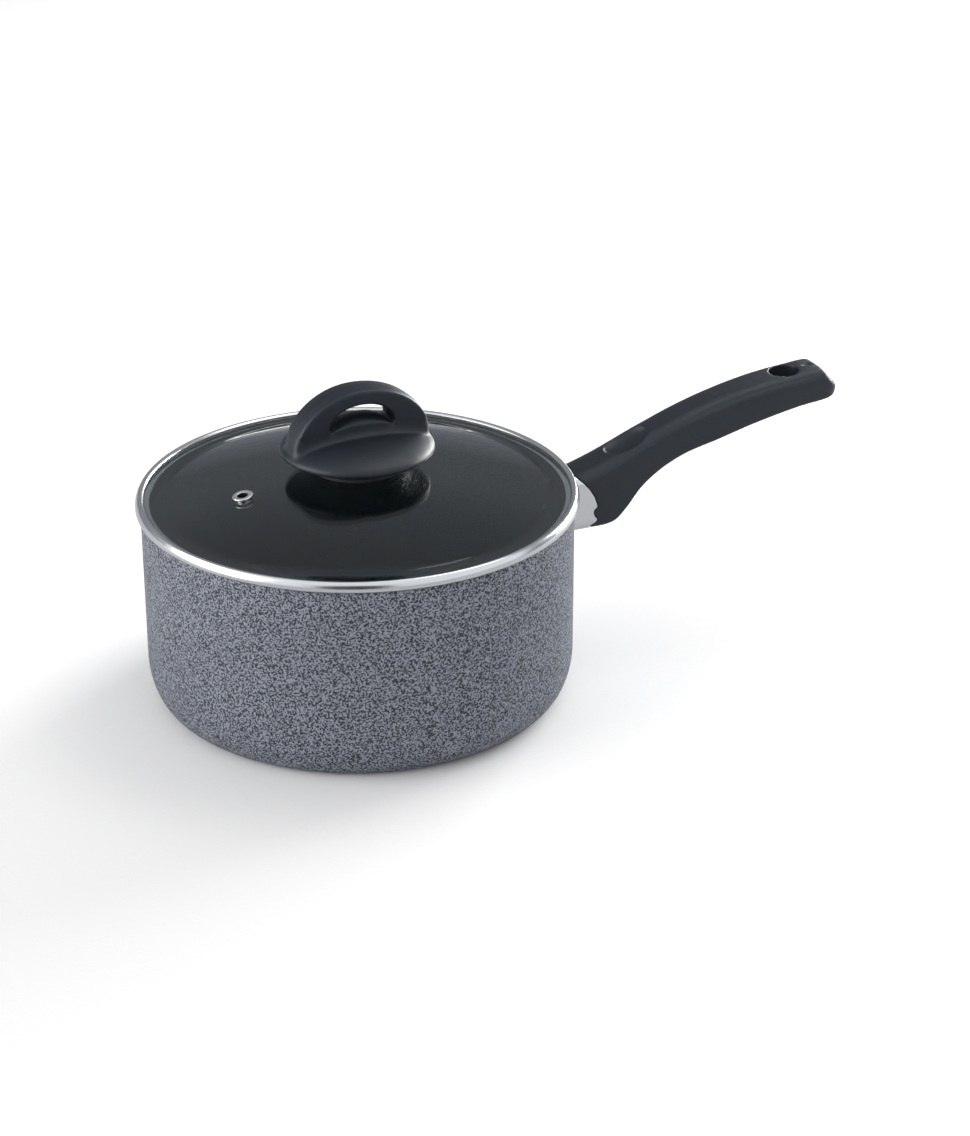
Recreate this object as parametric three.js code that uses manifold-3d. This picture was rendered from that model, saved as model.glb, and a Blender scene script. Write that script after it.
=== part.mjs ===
// A saucepan with a glass lid: a pressed aluminium pan, a bakelite handle held by one screw on a
// riveted bracket, and a domed glass lid with a steel rim, a steam vent and an arched knob.
// Millimetres, +Z up. The origin is the centre of the base, on the surface that the pan stands on,
// and the handle points along +X.
import * as THREE from "three";
import { mergeVertices } from "three/addons/utils/BufferGeometryUtils.js";
import Module from "manifold-3d";

const wasm = await Module();
wasm.setup();

// ---- shared values
const FACETS = 60; // sides of every large turned piece
const KNOB_FACETS = 36; // sides of the knob and what it stands on
const SMALL_FACETS = 16; // sides of a screw, rivet, washer or bush
const GAP = 0.3; // between pieces that touch

// ---- pan
const PAN_RADIUS = 102;
const PAN_HEIGHT = 95.4;
const PAN_WALL = 2.5;
const PAN_BASE = 4;
const CORNER_WIDTH = 11; // the bottom corner is a quarter ellipse
const CORNER_HEIGHT = 21.5;
const GROOVE_COUNT = 3; // turned grooves in the underside, round a flat centre
const GROOVE_FIRST = 34;
const GROOVE_PITCH = 16;
const GROOVE_WIDTH = 2;
const GROOVE_DEPTH = 0.6;

// ---- bracket and its rivets, level with the handle's centre line
const HANDLE_DROP = 18.4; // from the pan's edge down to the bracket's centre line
const PLATE_THICKNESS = 2;
const PLATE_HALF_WIDTH = 8.5;
const PLATE_HALF_HEIGHT = 10.5;
const PLATE_CORNER = 4;
const TANG_HALF_WIDTH = 6;
const TANG_HALF_HEIGHT = 3;
const TANG_END = 33; // from the pan's wall
const RIVET_HEAD_RADIUS = 3;
const RIVET_HEAD_HEIGHT = 1.7;
const RIVET_SHANK = 1.9;
const RIVET_OFFSET = 7; // above and below the centre line

// ---- flame guard
const GUARD_HALF_WIDTH = 12.2;
const GUARD_TOP = 13.5; // above the centre line
const GUARD_BOTTOM = 15.2; // below the centre line
const GUARD_CORNER = 5;
const GUARD_SHEET = 0.8;

// ---- handle and its screw
const HANDLE_LENGTH = 156; // from the pan's wall to the tip
const HANDLE_HALF_WIDTH = 12.5;
const HANDLE_WAIST = 11.5; // half width behind the thumb rest
const HANG_HOLE_RADIUS = 7.5;
const HANG_HOLE_FROM_TIP = 28;
const THUMB_REST = { x: 39, z: 27.3, length: 12, width: 8.5, depth: 3.2, slope: 24 };
const HANDLE_END_ROUND = 9;
const SCREW_X = 27; // from the pan's wall
const SCREW_SHANK = 2;
const SCREW_HEAD_RADIUS = 4.2;
const SCREW_HEAD_HEIGHT = 3;
const SCREW_RECESS_RADIUS = 5.2;
const SCREW_SEAT = 8; // below the centre line
const SCREW_ABOVE_TANG = 2;
const SCREW_POINT = 1;
const SCREW_POINT_TAPER = 0.8;
const WASHER_THICKNESS = 0.8;

// ---- lid rim, from the plane that rests on the pan's edge
const RIM_OVERHANG = 2.3;
const RIM_LIP_SHEET = 1;
const RIM_ROLL_WIDTH = 2.1;
const RIM_EDGE_BREAK = 0.3;
const RIM_SHEET = 0.5;
const RIM_SHOULDER = 1.3; // rounding at the foot of the outer face
const RIM_FACE_TOP = 2.5; // where the outer face starts to roll over
const RIM_LIP_REACH = 0.8; // how far the lip covers the glass
const SKIRT_OVER_RIVETS = 1.4;
const SKIRT_SHEET = 0.8;
const SKIRT_CLEARANCE = 1.2;
const RIM_BEAD = 2.7; // thickness of the rolled bead behind the glass

// ---- glass
const GLASS_THICKNESS = 3.2;
const GLASS_FLANGE = 9.3;
const GLASS_BEVEL = 0.6; // flat band at the glass's edge
const DOME_RISE = 13.8;
const STEM_HOLE_RADIUS = 6.3;

// ---- steam vent
const VENT_RADIUS = 58; // from the lid's centre
const VENT_ANGLE = 182; // from the handle's direction
const EYELET_RADIUS = 4.9;
const EYELET_BARREL = 3;
const EYELET_BORE = 2.2;
const EYELET_FLANGE = 0.9;
const VENT_WASHER_RADIUS = 5.6;

// ---- knob and its stem
const KNOB_RADIUS = 36.5;
const KNOB_FOOT_RADIUS = 23;
const KNOB_EDGE_HEIGHT = 7.4;
const KNOB_EDGE_ROUND = 8;
const KNOB_EDGE_RISE = 5;
const KNOB_UNDERCUT = 2; // widest level, from the foot
const KNOB_DOME_HEIGHT = 15.4;
const KNOB_HEIGHT = 37.9;
const ARCH_INSET = 2;
const ARCH_THICKNESS = 15.2;
const GRIP_HALF_WIDTH = 16.6;
const GRIP_TOP = 30.2;
const GRIP_SPRING = 20.4;
const GRIP_FLOOR = 21.4;
const SEAL_THICKNESS = 1;
const INSERT_RADIUS = 4.5;
const INSERT_LENGTH = 12;
const STEM_RADIUS = 2.2;
const STEM_CLEARANCE = 0.4;
const STEM_ENGAGEMENT = 9;
const STEM_HEAD_RADIUS = 4.5;
const STEM_HEAD_HEIGHT = 2.8;
const GROMMET_FLANGE_RADIUS = 10;
const GROMMET_FLANGE = 1.5;
const KNOB_WASHER_RADIUS = 9;
const KNOB_WASHER_THICKNESS = 1;

// ---- places that follow from the sizes
const PAN_INNER_RADIUS = PAN_RADIUS - PAN_WALL;
const HANDLE_LEVEL = PAN_HEIGHT - HANDLE_DROP;
const SKIRT_DEPTH = HANDLE_DROP - RIVET_OFFSET - RIVET_HEAD_RADIUS - SKIRT_OVER_RIVETS;
const RIM_OUTER = PAN_RADIUS + RIM_OVERHANG;
const CHANNEL_RADIUS = RIM_OUTER - RIM_BEAD;
const GLASS_RADIUS = CHANNEL_RADIUS - GAP;
const GLASS_EDGE_BOTTOM = RIM_SHEET + GAP;
const GLASS_EDGE_TOP = GLASS_EDGE_BOTTOM + GLASS_THICKNESS;
const RIM_CREST = GLASS_EDGE_TOP + GAP + RIM_LIP_SHEET;
const DOME_RADIUS = GLASS_RADIUS - GLASS_FLANGE;
const DOME_SPHERE = (DOME_RADIUS ** 2 + DOME_RISE ** 2) / (2 * DOME_RISE);
const GLASS_APEX = GLASS_EDGE_TOP + DOME_RISE;
const SEAL_TOP = GLASS_APEX + GAP + SEAL_THICKNESS;
const KNOB_FOOT = SEAL_TOP + GAP;
const ARCH_HALF_WIDTH = KNOB_RADIUS - ARCH_INSET;

// ---- helpers
const v = (r, z) => new THREE.Vector2(r, z);
const rad = THREE.MathUtils.degToRad;

function arc(r, z, width, height, from, to, steps) {
  const points = [];
  for (let i = 0; i <= steps; i++) {
    const angle = rad(from + ((to - from) * i) / steps);
    points.push(v(r + width * Math.cos(angle), z + height * Math.sin(angle)));
  }
  return points;
}

// Turns an outline of (radius, height) points round Z. It runs from axis to axis, or is a loop.
function turned(outline, facets = FACETS) {
  const onAxis = outline[0].x === 0;
  const loop = onAxis ? outline : [...outline, outline[0]];
  const points = THREE.ShapeUtils.area(loop) > 0 ? loop : [...loop].reverse();
  const geometry = new THREE.LatheGeometry(points, facets);
  return geometry.rotateX(Math.PI / 2);
}

function solid(geometry) {
  const bare = geometry.clone();
  bare.deleteAttribute("normal");
  bare.deleteAttribute("uv");
  const merged = mergeVertices(bare, 1e-4);
  const made = new wasm.Manifold(
    new wasm.Mesh({
      numProp: 3,
      vertProperties: new Float32Array(merged.attributes.position.array),
      triVerts: new Uint32Array(merged.index.array),
    }),
  );
  return made;
}

function fromSolid(made) {
  const mesh = made.getMesh();
  const geometry = new THREE.BufferGeometry();
  geometry.setAttribute("position", new THREE.BufferAttribute(mesh.vertProperties, 3));
  geometry.setIndex(new THREE.BufferAttribute(mesh.triVerts, 1));
  return geometry;
}

function rod(radius, low, high, facets = SMALL_FACETS) {
  return turned([v(0, low), v(radius, low), v(radius, high), v(0, high)], facets);
}

function ring(inner, outer, low, high, facets = SMALL_FACETS) {
  return turned([v(inner, low), v(outer, low), v(outer, high), v(inner, high)], facets);
}

function roundedRectangle(halfWidth, low, high, corner) {
  const shape = new THREE.Shape();
  shape.moveTo(-halfWidth + corner, low);
  shape.lineTo(halfWidth - corner, low);
  shape.absarc(halfWidth - corner, low + corner, corner, rad(-90), 0);
  shape.absarc(halfWidth - corner, high - corner, corner, 0, rad(90));
  shape.absarc(-halfWidth + corner, high - corner, corner, rad(90), rad(180));
  shape.absarc(-halfWidth + corner, low + corner, corner, rad(180), rad(270));
  return shape;
}

// Extrudes a shape drawn in Y and Z along X, from one x to another.
function alongX(shape, from, to) {
  const geometry = new THREE.ExtrudeGeometry(shape, {
    depth: to - from,
    bevelEnabled: false,
    curveSegments: 6,
  });
  return geometry.rotateX(rad(90)).rotateZ(rad(90)).translate(from, 0, 0);
}

// Extrudes a shape drawn in X and Z across Y, half to each side.
function acrossY(shape, halfWidth, curveSegments = 8) {
  const geometry = new THREE.ExtrudeGeometry(shape, {
    depth: 2 * halfWidth,
    bevelEnabled: false,
    curveSegments,
  });
  return geometry.translate(0, 0, -halfWidth).rotateX(rad(90));
}

function piece(name, geometry, material, place = [0, 0, 0]) {
  const mesh = new THREE.Mesh(geometry, material);
  mesh.name = name;
  mesh.position.set(...place);
  return mesh;
}

// ---- materials
const finish = (color, roughness, metalness, extra = {}) =>
  new THREE.MeshStandardMaterial({ color, roughness, metalness, ...extra });
const hammertone = finish(0x74787e, 0.55, 0.3);
const steel = finish(0xc9cbce, 0.2, 1);
const aluminium = finish(0xb4b7ba, 0.4, 1);
const bakelite = finish(0x33373c, 0.45, 0);
const silicone = finish(0x2a2c2f, 0.7, 0);
const brass = finish(0xb59a55, 0.35, 1);
const smokedGlass = finish(0x59605f, 0.05, 0, { transparent: true, opacity: 0.35 });

// ---- pan body
function panOutline() {
  const lip = PAN_WALL / 2;
  const cornerR = PAN_RADIUS - CORNER_WIDTH;
  const innerWidth = PAN_INNER_RADIUS - cornerR;
  const innerHeight = CORNER_HEIGHT - PAN_BASE;
  const outline = [v(0, 0)];
  for (let i = 0; i < GROOVE_COUNT; i++) {
    const r = GROOVE_FIRST + i * GROOVE_PITCH;
    outline.push(v(r, 0), v(r, GROOVE_DEPTH));
    outline.push(v(r + GROOVE_WIDTH, GROOVE_DEPTH), v(r + GROOVE_WIDTH, 0));
  }
  outline.push(...arc(cornerR, CORNER_HEIGHT, CORNER_WIDTH, CORNER_HEIGHT, -90, 0, 8));
  outline.push(...arc(PAN_RADIUS - lip, PAN_HEIGHT - lip, lip, lip, 0, 180, 6));
  outline.push(...arc(cornerR, CORNER_HEIGHT, innerWidth, innerHeight, 0, -90, 6));
  outline.push(v(0, PAN_BASE));
  return outline;
}

function panBody() {
  let body = solid(turned(panOutline()));
  for (const side of [1, -1]) {
    const hole = rod(RIVET_SHANK + GAP, PAN_RADIUS - 2 * PAN_WALL, PAN_RADIUS + PAN_WALL);
    hole.rotateY(rad(90)).translate(0, 0, HANDLE_LEVEL + side * RIVET_OFFSET);
    body = body.subtract(solid(hole));
  }
  return fromSolid(body);
}

// ---- bracket: a curved plate on the wall with a tang that the handle slides onto.
// Its X is measured from the pan's axis and its Z from the centre line.
function handleBracket() {
  const low = PAN_RADIUS + GAP;
  const shell = ring(low, low + PLATE_THICKNESS, -PLATE_HALF_HEIGHT, PLATE_HALF_HEIGHT, FACETS);
  const face = roundedRectangle(
    PLATE_HALF_WIDTH,
    -PLATE_HALF_HEIGHT,
    PLATE_HALF_HEIGHT,
    PLATE_CORNER,
  );
  const block = alongX(face, PAN_RADIUS / 2, PAN_RADIUS * 2);
  const plate = solid(shell).intersect(solid(block));
  const bar = roundedRectangle(TANG_HALF_WIDTH, -TANG_HALF_HEIGHT, TANG_HALF_HEIGHT, 1);
  const tang = solid(alongX(bar, low + PLATE_THICKNESS / 2, PAN_RADIUS + TANG_END));
  const thread = rod(SCREW_SHANK + GAP, -2 * TANG_HALF_HEIGHT, 2 * TANG_HALF_HEIGHT);
  thread.translate(PAN_RADIUS + SCREW_X, 0, 0);
  let bracket = plate.add(tang).subtract(solid(thread));
  for (const side of [1, -1]) {
    const hole = rod(RIVET_SHANK + GAP, low - PLATE_THICKNESS, low + 2 * PLATE_THICKNESS);
    hole.rotateY(rad(90)).translate(0, 0, side * RIVET_OFFSET);
    bracket = bracket.subtract(solid(hole));
  }
  return fromSolid(bracket);
}

// ---- rivet: a shank through wall and plate with a domed head at each end.
// Its axis is Z here, from the pan's axis outwards; it is turned to lie along X.
function rivet() {
  const facetSag = PAN_INNER_RADIUS * (1 - Math.cos(Math.PI / FACETS));
  const inner = PAN_INNER_RADIUS - GAP - facetSag - curveSag(PAN_INNER_RADIUS);
  const outer = PAN_RADIUS + GAP + PLATE_THICKNESS + GAP;
  const head = RIVET_HEAD_HEIGHT;
  const outline = [
    v(0, inner - head),
    ...arc(0, inner, RIVET_HEAD_RADIUS, head, -70, 0, 3),
    v(RIVET_SHANK, inner),
    v(RIVET_SHANK, outer),
    ...arc(0, outer, RIVET_HEAD_RADIUS, head, 0, 70, 3),
    v(0, outer + head),
  ];
  return turned(outline, SMALL_FACETS).rotateY(rad(90));
}

// How far a round wall falls away across a rivet's head.
function curveSag(radius) {
  return radius - Math.sqrt(radius ** 2 - RIVET_HEAD_RADIUS ** 2);
}

// ---- outline of the handle's front end: it leans back over the flame guard.
// X is measured from the pan's wall and Z from the centre line.
const FRONT = [v(7, 16), v(8, 14), v(12, 10.5), v(15, 6), v(18.4, 0), v(19, -4), v(18.7, -13)];

// ---- flame guard: a thin tube from the pan's wall to the handle's front end
function flameGuard() {
  const outer = roundedRectangle(GUARD_HALF_WIDTH, -GUARD_BOTTOM, GUARD_TOP, GUARD_CORNER);
  const inner = roundedRectangle(
    GUARD_HALF_WIDTH - GUARD_SHEET,
    -GUARD_BOTTOM + GUARD_SHEET,
    GUARD_TOP - GUARD_SHEET,
    GUARD_CORNER - GUARD_SHEET,
  );
  const reach = PAN_RADIUS + HANDLE_LENGTH;
  const tube = solid(alongX(outer, PAN_RADIUS / 2, reach)).subtract(
    solid(alongX(inner, PAN_RADIUS / 2 - 1, reach + 1)),
  );
  const side = new THREE.Shape([
    v(-PAN_RADIUS / 2, 3 * GUARD_TOP),
    v(-PAN_RADIUS / 2, -3 * GUARD_BOTTOM),
    v(FRONT.at(-1).x - GAP, -3 * GUARD_BOTTOM),
    ...[...FRONT].reverse().map((point) => v(point.x - GAP, point.y - GAP)),
    v(FRONT[0].x - GAP, 3 * GUARD_TOP),
  ]);
  const keep = acrossY(side, 2 * GUARD_HALF_WIDTH).translate(PAN_RADIUS, 0, 0);
  const wall = rod(PAN_RADIUS + GAP, -3 * GUARD_BOTTOM, 3 * GUARD_TOP, FACETS);
  return fromSolid(tube.intersect(solid(keep)).subtract(solid(wall)));
}

// ---- handle: a side outline and a plan outline, cut with the screw's and the bracket's room
function handleSide() {
  const shape = new THREE.Shape();
  shape.moveTo(FRONT[0].x, FRONT[0].y);
  for (const point of FRONT.slice(1)) shape.lineTo(point.x, point.y);
  const tip = HANDLE_LENGTH;
  shape.splineThru([v(21, -14.6), v(28, -12), v(34, -6), v(42, 3.8), v(53, 11.5), v(64, 16.8)]);
  shape.splineThru([v(86, 22), v(109, 28), v(tip - 25, 31.6), v(tip - 4, 32.6)]);
  shape.splineThru([v(tip, 34.5), v(tip - 1, 40), v(tip - 5, 45), v(tip - 10, 47.6)]);
  shape.splineThru([v(tip - 20, 48.4), v(114, 47), v(92, 43.3), v(70, 38), v(48, 30.3)]);
  shape.splineThru([v(26, 21.5), v(14, 17.8)]);
  shape.closePath();
  return shape;
}

function handlePlan() {
  const wide = HANDLE_HALF_WIDTH;
  const tip = HANDLE_LENGTH;
  const edge = [v(4, wide), v(24, wide), v(56, HANDLE_WAIST), v(92, HANDLE_WAIST + 0.3)];
  edge.push(v(tip - 34, wide), v(tip - 18, wide));
  const round = HANDLE_END_ROUND;
  edge.push(...arc(tip - round, 0, round, wide - 0.4, 70, 0, 5));
  const mirrored = edge.slice(0, -1).reverse();
  return new THREE.Shape([...edge, ...mirrored.map((point) => v(point.x, -point.y))]);
}

function handle() {
  const side = solid(acrossY(handleSide(), HANDLE_HALF_WIDTH, 6));
  const planGeometry = new THREE.ExtrudeGeometry(handlePlan(), {
    depth: 2 * HANDLE_LENGTH,
    bevelEnabled: false,
  });
  let body = side.intersect(solid(planGeometry.translate(0, 0, -HANDLE_LENGTH)));
  const hole = rod(HANG_HOLE_RADIUS, 0, HANDLE_LENGTH, 32);
  hole.translate(HANDLE_LENGTH - HANG_HOLE_FROM_TIP, 0, 0);
  body = body.subtract(solid(hole));
  const rest = new THREE.SphereGeometry(1, 20, 12);
  rest.scale(THUMB_REST.length, THUMB_REST.width, THUMB_REST.depth);
  rest.rotateY(rad(-THUMB_REST.slope)).translate(THUMB_REST.x, 0, THUMB_REST.z);
  body = body.subtract(solid(rest));
  const socket = roundedRectangle(
    TANG_HALF_WIDTH + GAP,
    -TANG_HALF_HEIGHT - GAP,
    TANG_HALF_HEIGHT + GAP,
    1,
  );
  body = body.subtract(solid(alongX(socket, 0, TANG_END + 2 * GAP)));
  const recess = rod(SCREW_RECESS_RADIUS, -HANDLE_LENGTH / 2, -SCREW_SEAT);
  const pilot = rod(SCREW_SHANK + GAP, -HANDLE_LENGTH / 2, screwTop() + 2 * GAP);
  body = body.subtract(solid(recess.translate(SCREW_X, 0, 0)));
  body = body.subtract(solid(pilot.translate(SCREW_X, 0, 0)));
  return fromSolid(body);
}

function screwTop() {
  return TANG_HALF_HEIGHT + SCREW_ABOVE_TANG;
}

function handleScrew() {
  const seat = -SCREW_SEAT - 2 * GAP - WASHER_THICKNESS;
  const low = seat - SCREW_HEAD_HEIGHT;
  const head = SCREW_HEAD_RADIUS;
  const outline = [
    v(0, low),
    ...arc(0, seat - 1, head, SCREW_HEAD_HEIGHT - 1, -60, 0, 4),
    v(head, seat),
    v(SCREW_SHANK, seat),
    v(SCREW_SHANK, screwTop() - SCREW_POINT),
    v(SCREW_SHANK - SCREW_POINT_TAPER, screwTop()),
    v(0, screwTop()),
  ];
  return turned(outline, SMALL_FACETS);
}

function handleWasher() {
  const top = -SCREW_SEAT - GAP;
  return ring(SCREW_SHANK + GAP, SCREW_HEAD_RADIUS + GAP, top - WASHER_THICKNESS, top);
}

// ---- lid rim: skirt inside the pan, flange on its edge and a rolled bead round the glass
function lidRim() {
  const skirtOuter = PAN_INNER_RADIUS - SKIRT_CLEARANCE;
  const skirtInner = skirtOuter - SKIRT_SHEET;
  const lipInner = GLASS_RADIUS - RIM_LIP_REACH;
  const lipLow = GLASS_EDGE_TOP + GAP;
  const roll = RIM_OUTER - RIM_SHOULDER;
  const crestR = RIM_OUTER - RIM_ROLL_WIDTH;
  const outline = [
    v(skirtInner, -SKIRT_DEPTH),
    v(skirtOuter, -SKIRT_DEPTH),
    v(skirtOuter, 0),
    ...arc(roll, RIM_SHOULDER, RIM_SHOULDER, RIM_SHOULDER, -90, 0, 3),
    ...arc(crestR, RIM_FACE_TOP, RIM_ROLL_WIDTH, RIM_CREST - RIM_FACE_TOP, 0, 90, 5),
    v(lipInner + RIM_EDGE_BREAK, RIM_CREST - RIM_EDGE_BREAK),
    v(lipInner, lipLow),
    v(CHANNEL_RADIUS, lipLow),
    v(CHANNEL_RADIUS, RIM_SHEET),
    v(skirtInner, RIM_SHEET),
  ];
  return turned(outline);
}

// ---- glass: a flat band in the rim, then a shallow dome
function domeTop(r) {
  const drop = DOME_SPHERE - Math.sqrt(DOME_SPHERE ** 2 - Math.min(r, DOME_RADIUS) ** 2);
  return GLASS_APEX - drop;
}

function lidGlass() {
  const rings = 9;
  const top = [];
  for (let i = 0; i <= rings; i++) {
    const r = STEM_HOLE_RADIUS + ((DOME_RADIUS - STEM_HOLE_RADIUS) * i) / rings;
    top.push(v(r, domeTop(r)));
  }
  top.push(v(GLASS_RADIUS - GLASS_BEVEL, GLASS_EDGE_TOP), v(GLASS_RADIUS, GLASS_EDGE_TOP - GLASS_BEVEL));
  const bottom = [v(GLASS_RADIUS, GLASS_EDGE_BOTTOM)];
  for (let i = rings; i >= 0; i--) bottom.push(v(top[i].x, top[i].y - GLASS_THICKNESS));
  const glass = solid(turned([...top, ...bottom]));
  const hole = rod(EYELET_BARREL + GAP, -3 * GLASS_THICKNESS, 3 * GLASS_THICKNESS);
  const vent = ventPlace();
  hole.applyMatrix4(vent.matrix);
  return fromSolid(glass.subtract(solid(hole)));
}

// The vent stands square to the dome: its group's origin is on the glass's upper face.
function ventPlace() {
  const place = new THREE.Group();
  const turn = new THREE.Quaternion().setFromAxisAngle(new THREE.Vector3(0, 0, 1), rad(VENT_ANGLE));
  const lean = Math.asin(VENT_RADIUS / DOME_SPHERE);
  const tilt = new THREE.Quaternion().setFromAxisAngle(new THREE.Vector3(0, 1, 0), lean);
  place.position.set(VENT_RADIUS, 0, domeTop(VENT_RADIUS)).applyQuaternion(turn);
  place.quaternion.copy(turn.multiply(tilt));
  place.updateMatrix();
  return place;
}

function ventWasherTop() {
  return -GLASS_THICKNESS - GAP;
}

function ventEyelet() {
  const low = ventWasherTop() - WASHER_THICKNESS - GAP;
  const edge = EYELET_FLANGE / 2;
  const outline = [
    v(EYELET_BORE, low - EYELET_FLANGE),
    v(EYELET_RADIUS - edge, low - EYELET_FLANGE),
    v(EYELET_RADIUS, low - edge),
    v(EYELET_RADIUS - edge, low),
    v(EYELET_BARREL, low),
    v(EYELET_BARREL, GAP),
    v(EYELET_RADIUS - edge, GAP),
    v(EYELET_RADIUS, GAP + edge),
    v(EYELET_RADIUS - edge, GAP + EYELET_FLANGE),
    v(EYELET_BORE + edge, GAP + EYELET_FLANGE),
    v(EYELET_BORE, GAP + edge),
  ];
  return turned(outline, SMALL_FACETS);
}

function ventWasher() {
  const top = ventWasherTop();
  return ring(EYELET_BARREL + GAP, VENT_WASHER_RADIUS, top - WASHER_THICKNESS, top);
}

// ---- knob: a domed disc with an arched grip, from its foot upwards
function lidKnob() {
  const bore = INSERT_RADIUS + GAP;
  const boreTop = INSERT_LENGTH + 3 * GAP;
  const edge = KNOB_EDGE_HEIGHT;
  const shoulder = KNOB_DOME_HEIGHT - edge;
  const round = KNOB_EDGE_ROUND;
  const outline = [
    v(0, boreTop),
    v(bore, boreTop),
    v(bore, 0),
    v(KNOB_FOOT_RADIUS, 0),
    v(KNOB_RADIUS - KNOB_UNDERCUT, edge - KNOB_UNDERCUT),
    ...arc(KNOB_RADIUS - round, edge, round, KNOB_EDGE_RISE, 0, 50, 4),
    ...arc(0, edge, KNOB_RADIUS, shoulder, 58, 84, 4),
    v(0, KNOB_DOME_HEIGHT),
  ];
  const base = solid(turned(outline, KNOB_FACETS));
  const arch = new THREE.Shape();
  arch.absellipse(0, edge, ARCH_HALF_WIDTH, KNOB_HEIGHT - edge, 0, Math.PI);
  const grip = gripShape();
  const opening = solid(acrossY(grip, ARCH_THICKNESS, 16));
  const strap = solid(acrossY(arch, ARCH_THICKNESS / 2, 18)).subtract(opening);
  const stem = solid(rod(bore, -1, boreTop));
  return fromSolid(base.add(strap).subtract(stem));
}

// The finger gap: arched above, with a floor that swells slightly upwards.
function gripShape() {
  const above = arc(0, GRIP_SPRING, GRIP_HALF_WIDTH, GRIP_TOP - GRIP_SPRING, 0, 180, 20);
  const swell = GRIP_FLOOR - GRIP_SPRING + KNOB_UNDERCUT;
  const low = GRIP_SPRING - KNOB_UNDERCUT;
  const below = arc(0, low, GRIP_HALF_WIDTH - KNOB_UNDERCUT, swell, 180, 0, 16);
  return new THREE.Shape([...above, ...below]);
}

function knobInsert() {
  return ring(STEM_RADIUS + STEM_CLEARANCE, INSERT_RADIUS, GAP, GAP + INSERT_LENGTH);
}

// The seal's underside follows the dome and its top is flat under the knob's foot.
function knobSeal() {
  const inner = STEM_RADIUS + STEM_CLEARANCE;
  const outer = KNOB_FOOT_RADIUS - 1;
  const outline = [v(inner, GLASS_APEX + GAP), v(STEM_HOLE_RADIUS, GLASS_APEX + GAP)];
  for (const share of [0.5, 0.75, 1]) outline.push(v(outer * share, domeTop(outer * share) + GAP));
  outline.push(v(outer, SEAL_TOP), v(inner, SEAL_TOP));
  return turned(outline, KNOB_FACETS);
}

function grommetLow() {
  return domeTop(GROMMET_FLANGE_RADIUS) - GLASS_THICKNESS - GAP - GROMMET_FLANGE;
}

function knobGrommet() {
  const low = grommetLow();
  const sleeve = STEM_HOLE_RADIUS - GAP;
  const outline = [
    v(STEM_RADIUS + STEM_CLEARANCE, low),
    v(GROMMET_FLANGE_RADIUS, low),
    v(GROMMET_FLANGE_RADIUS, low + GROMMET_FLANGE),
    v(sleeve, low + GROMMET_FLANGE),
    v(sleeve, GLASS_APEX - GAP),
    v(STEM_RADIUS + STEM_CLEARANCE, GLASS_APEX - GAP),
  ];
  return turned(outline, KNOB_FACETS);
}

function knobWasher() {
  const top = grommetLow() - GAP;
  const inner = STEM_RADIUS + STEM_CLEARANCE;
  return ring(inner, KNOB_WASHER_RADIUS, top - KNOB_WASHER_THICKNESS, top);
}

function knobScrew() {
  const seat = grommetLow() - 2 * GAP - KNOB_WASHER_THICKNESS;
  const low = seat - STEM_HEAD_HEIGHT;
  const end = KNOB_FOOT + GAP + STEM_ENGAGEMENT;
  const outline = [
    v(0, low),
    ...arc(0, seat - 1, STEM_HEAD_RADIUS, STEM_HEAD_HEIGHT - 1, -60, 0, 4),
    v(STEM_HEAD_RADIUS, seat),
    v(STEM_RADIUS, seat),
    v(STEM_RADIUS, end - SCREW_POINT),
    v(STEM_RADIUS - SCREW_POINT_TAPER, end),
    v(0, end),
  ];
  return turned(outline, SMALL_FACETS);
}

// ---- assembly
const pan = new THREE.Group();
pan.add(piece("pan_body", panBody(), hammertone));

const mounting = new THREE.Group();
mounting.position.set(0, 0, HANDLE_LEVEL);
mounting.add(piece("handle_bracket", handleBracket(), steel));
mounting.add(piece("bracket_rivet_upper", rivet(), aluminium, [0, 0, RIVET_OFFSET]));
mounting.add(piece("bracket_rivet_lower", rivet(), aluminium, [0, 0, -RIVET_OFFSET]));
mounting.add(piece("flame_guard", flameGuard(), steel));
mounting.add(piece("handle", handle(), bakelite, [PAN_RADIUS, 0, 0]));
mounting.add(piece("handle_screw", handleScrew(), steel, [PAN_RADIUS + SCREW_X, 0, 0]));
mounting.add(piece("handle_washer", handleWasher(), steel, [PAN_RADIUS + SCREW_X, 0, 0]));
pan.add(mounting);

const lid = new THREE.Group();
lid.position.set(0, 0, PAN_HEIGHT + GAP);
lid.add(piece("lid_rim", lidRim(), steel));
lid.add(piece("lid_glass", lidGlass(), smokedGlass));
const vent = ventPlace();
vent.add(piece("vent_eyelet", ventEyelet(), steel));
vent.add(piece("vent_washer", ventWasher(), silicone));
lid.add(vent);
lid.add(piece("lid_knob", lidKnob(), bakelite, [0, 0, KNOB_FOOT]));
lid.add(piece("knob_insert", knobInsert(), brass, [0, 0, KNOB_FOOT]));
lid.add(piece("knob_seal", knobSeal(), silicone));
lid.add(piece("knob_grommet", knobGrommet(), silicone));
lid.add(piece("knob_washer", knobWasher(), steel));
lid.add(piece("knob_screw", knobScrew(), steel));

const saucepan = new THREE.Group();
saucepan.add(pan, lid);
export default saucepan;
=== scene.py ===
"""A saucepan with a glass lid, in metres, +Z up, with the handle along +X.

The pan, the lid's rim, the glass and every other round piece are turned from an outline by a node
tree. The handle and the knob are lofted, cut and then remeshed, so that their edges run softly
into each other as on a moulding. The stage holds the floor, the lights and the camera.
"""

import math

import bmesh
import bpy
import numpy as np
from bpy.props import FloatProperty, FloatVectorProperty, IntProperty, PointerProperty
from mathutils import Matrix, Vector


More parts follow.
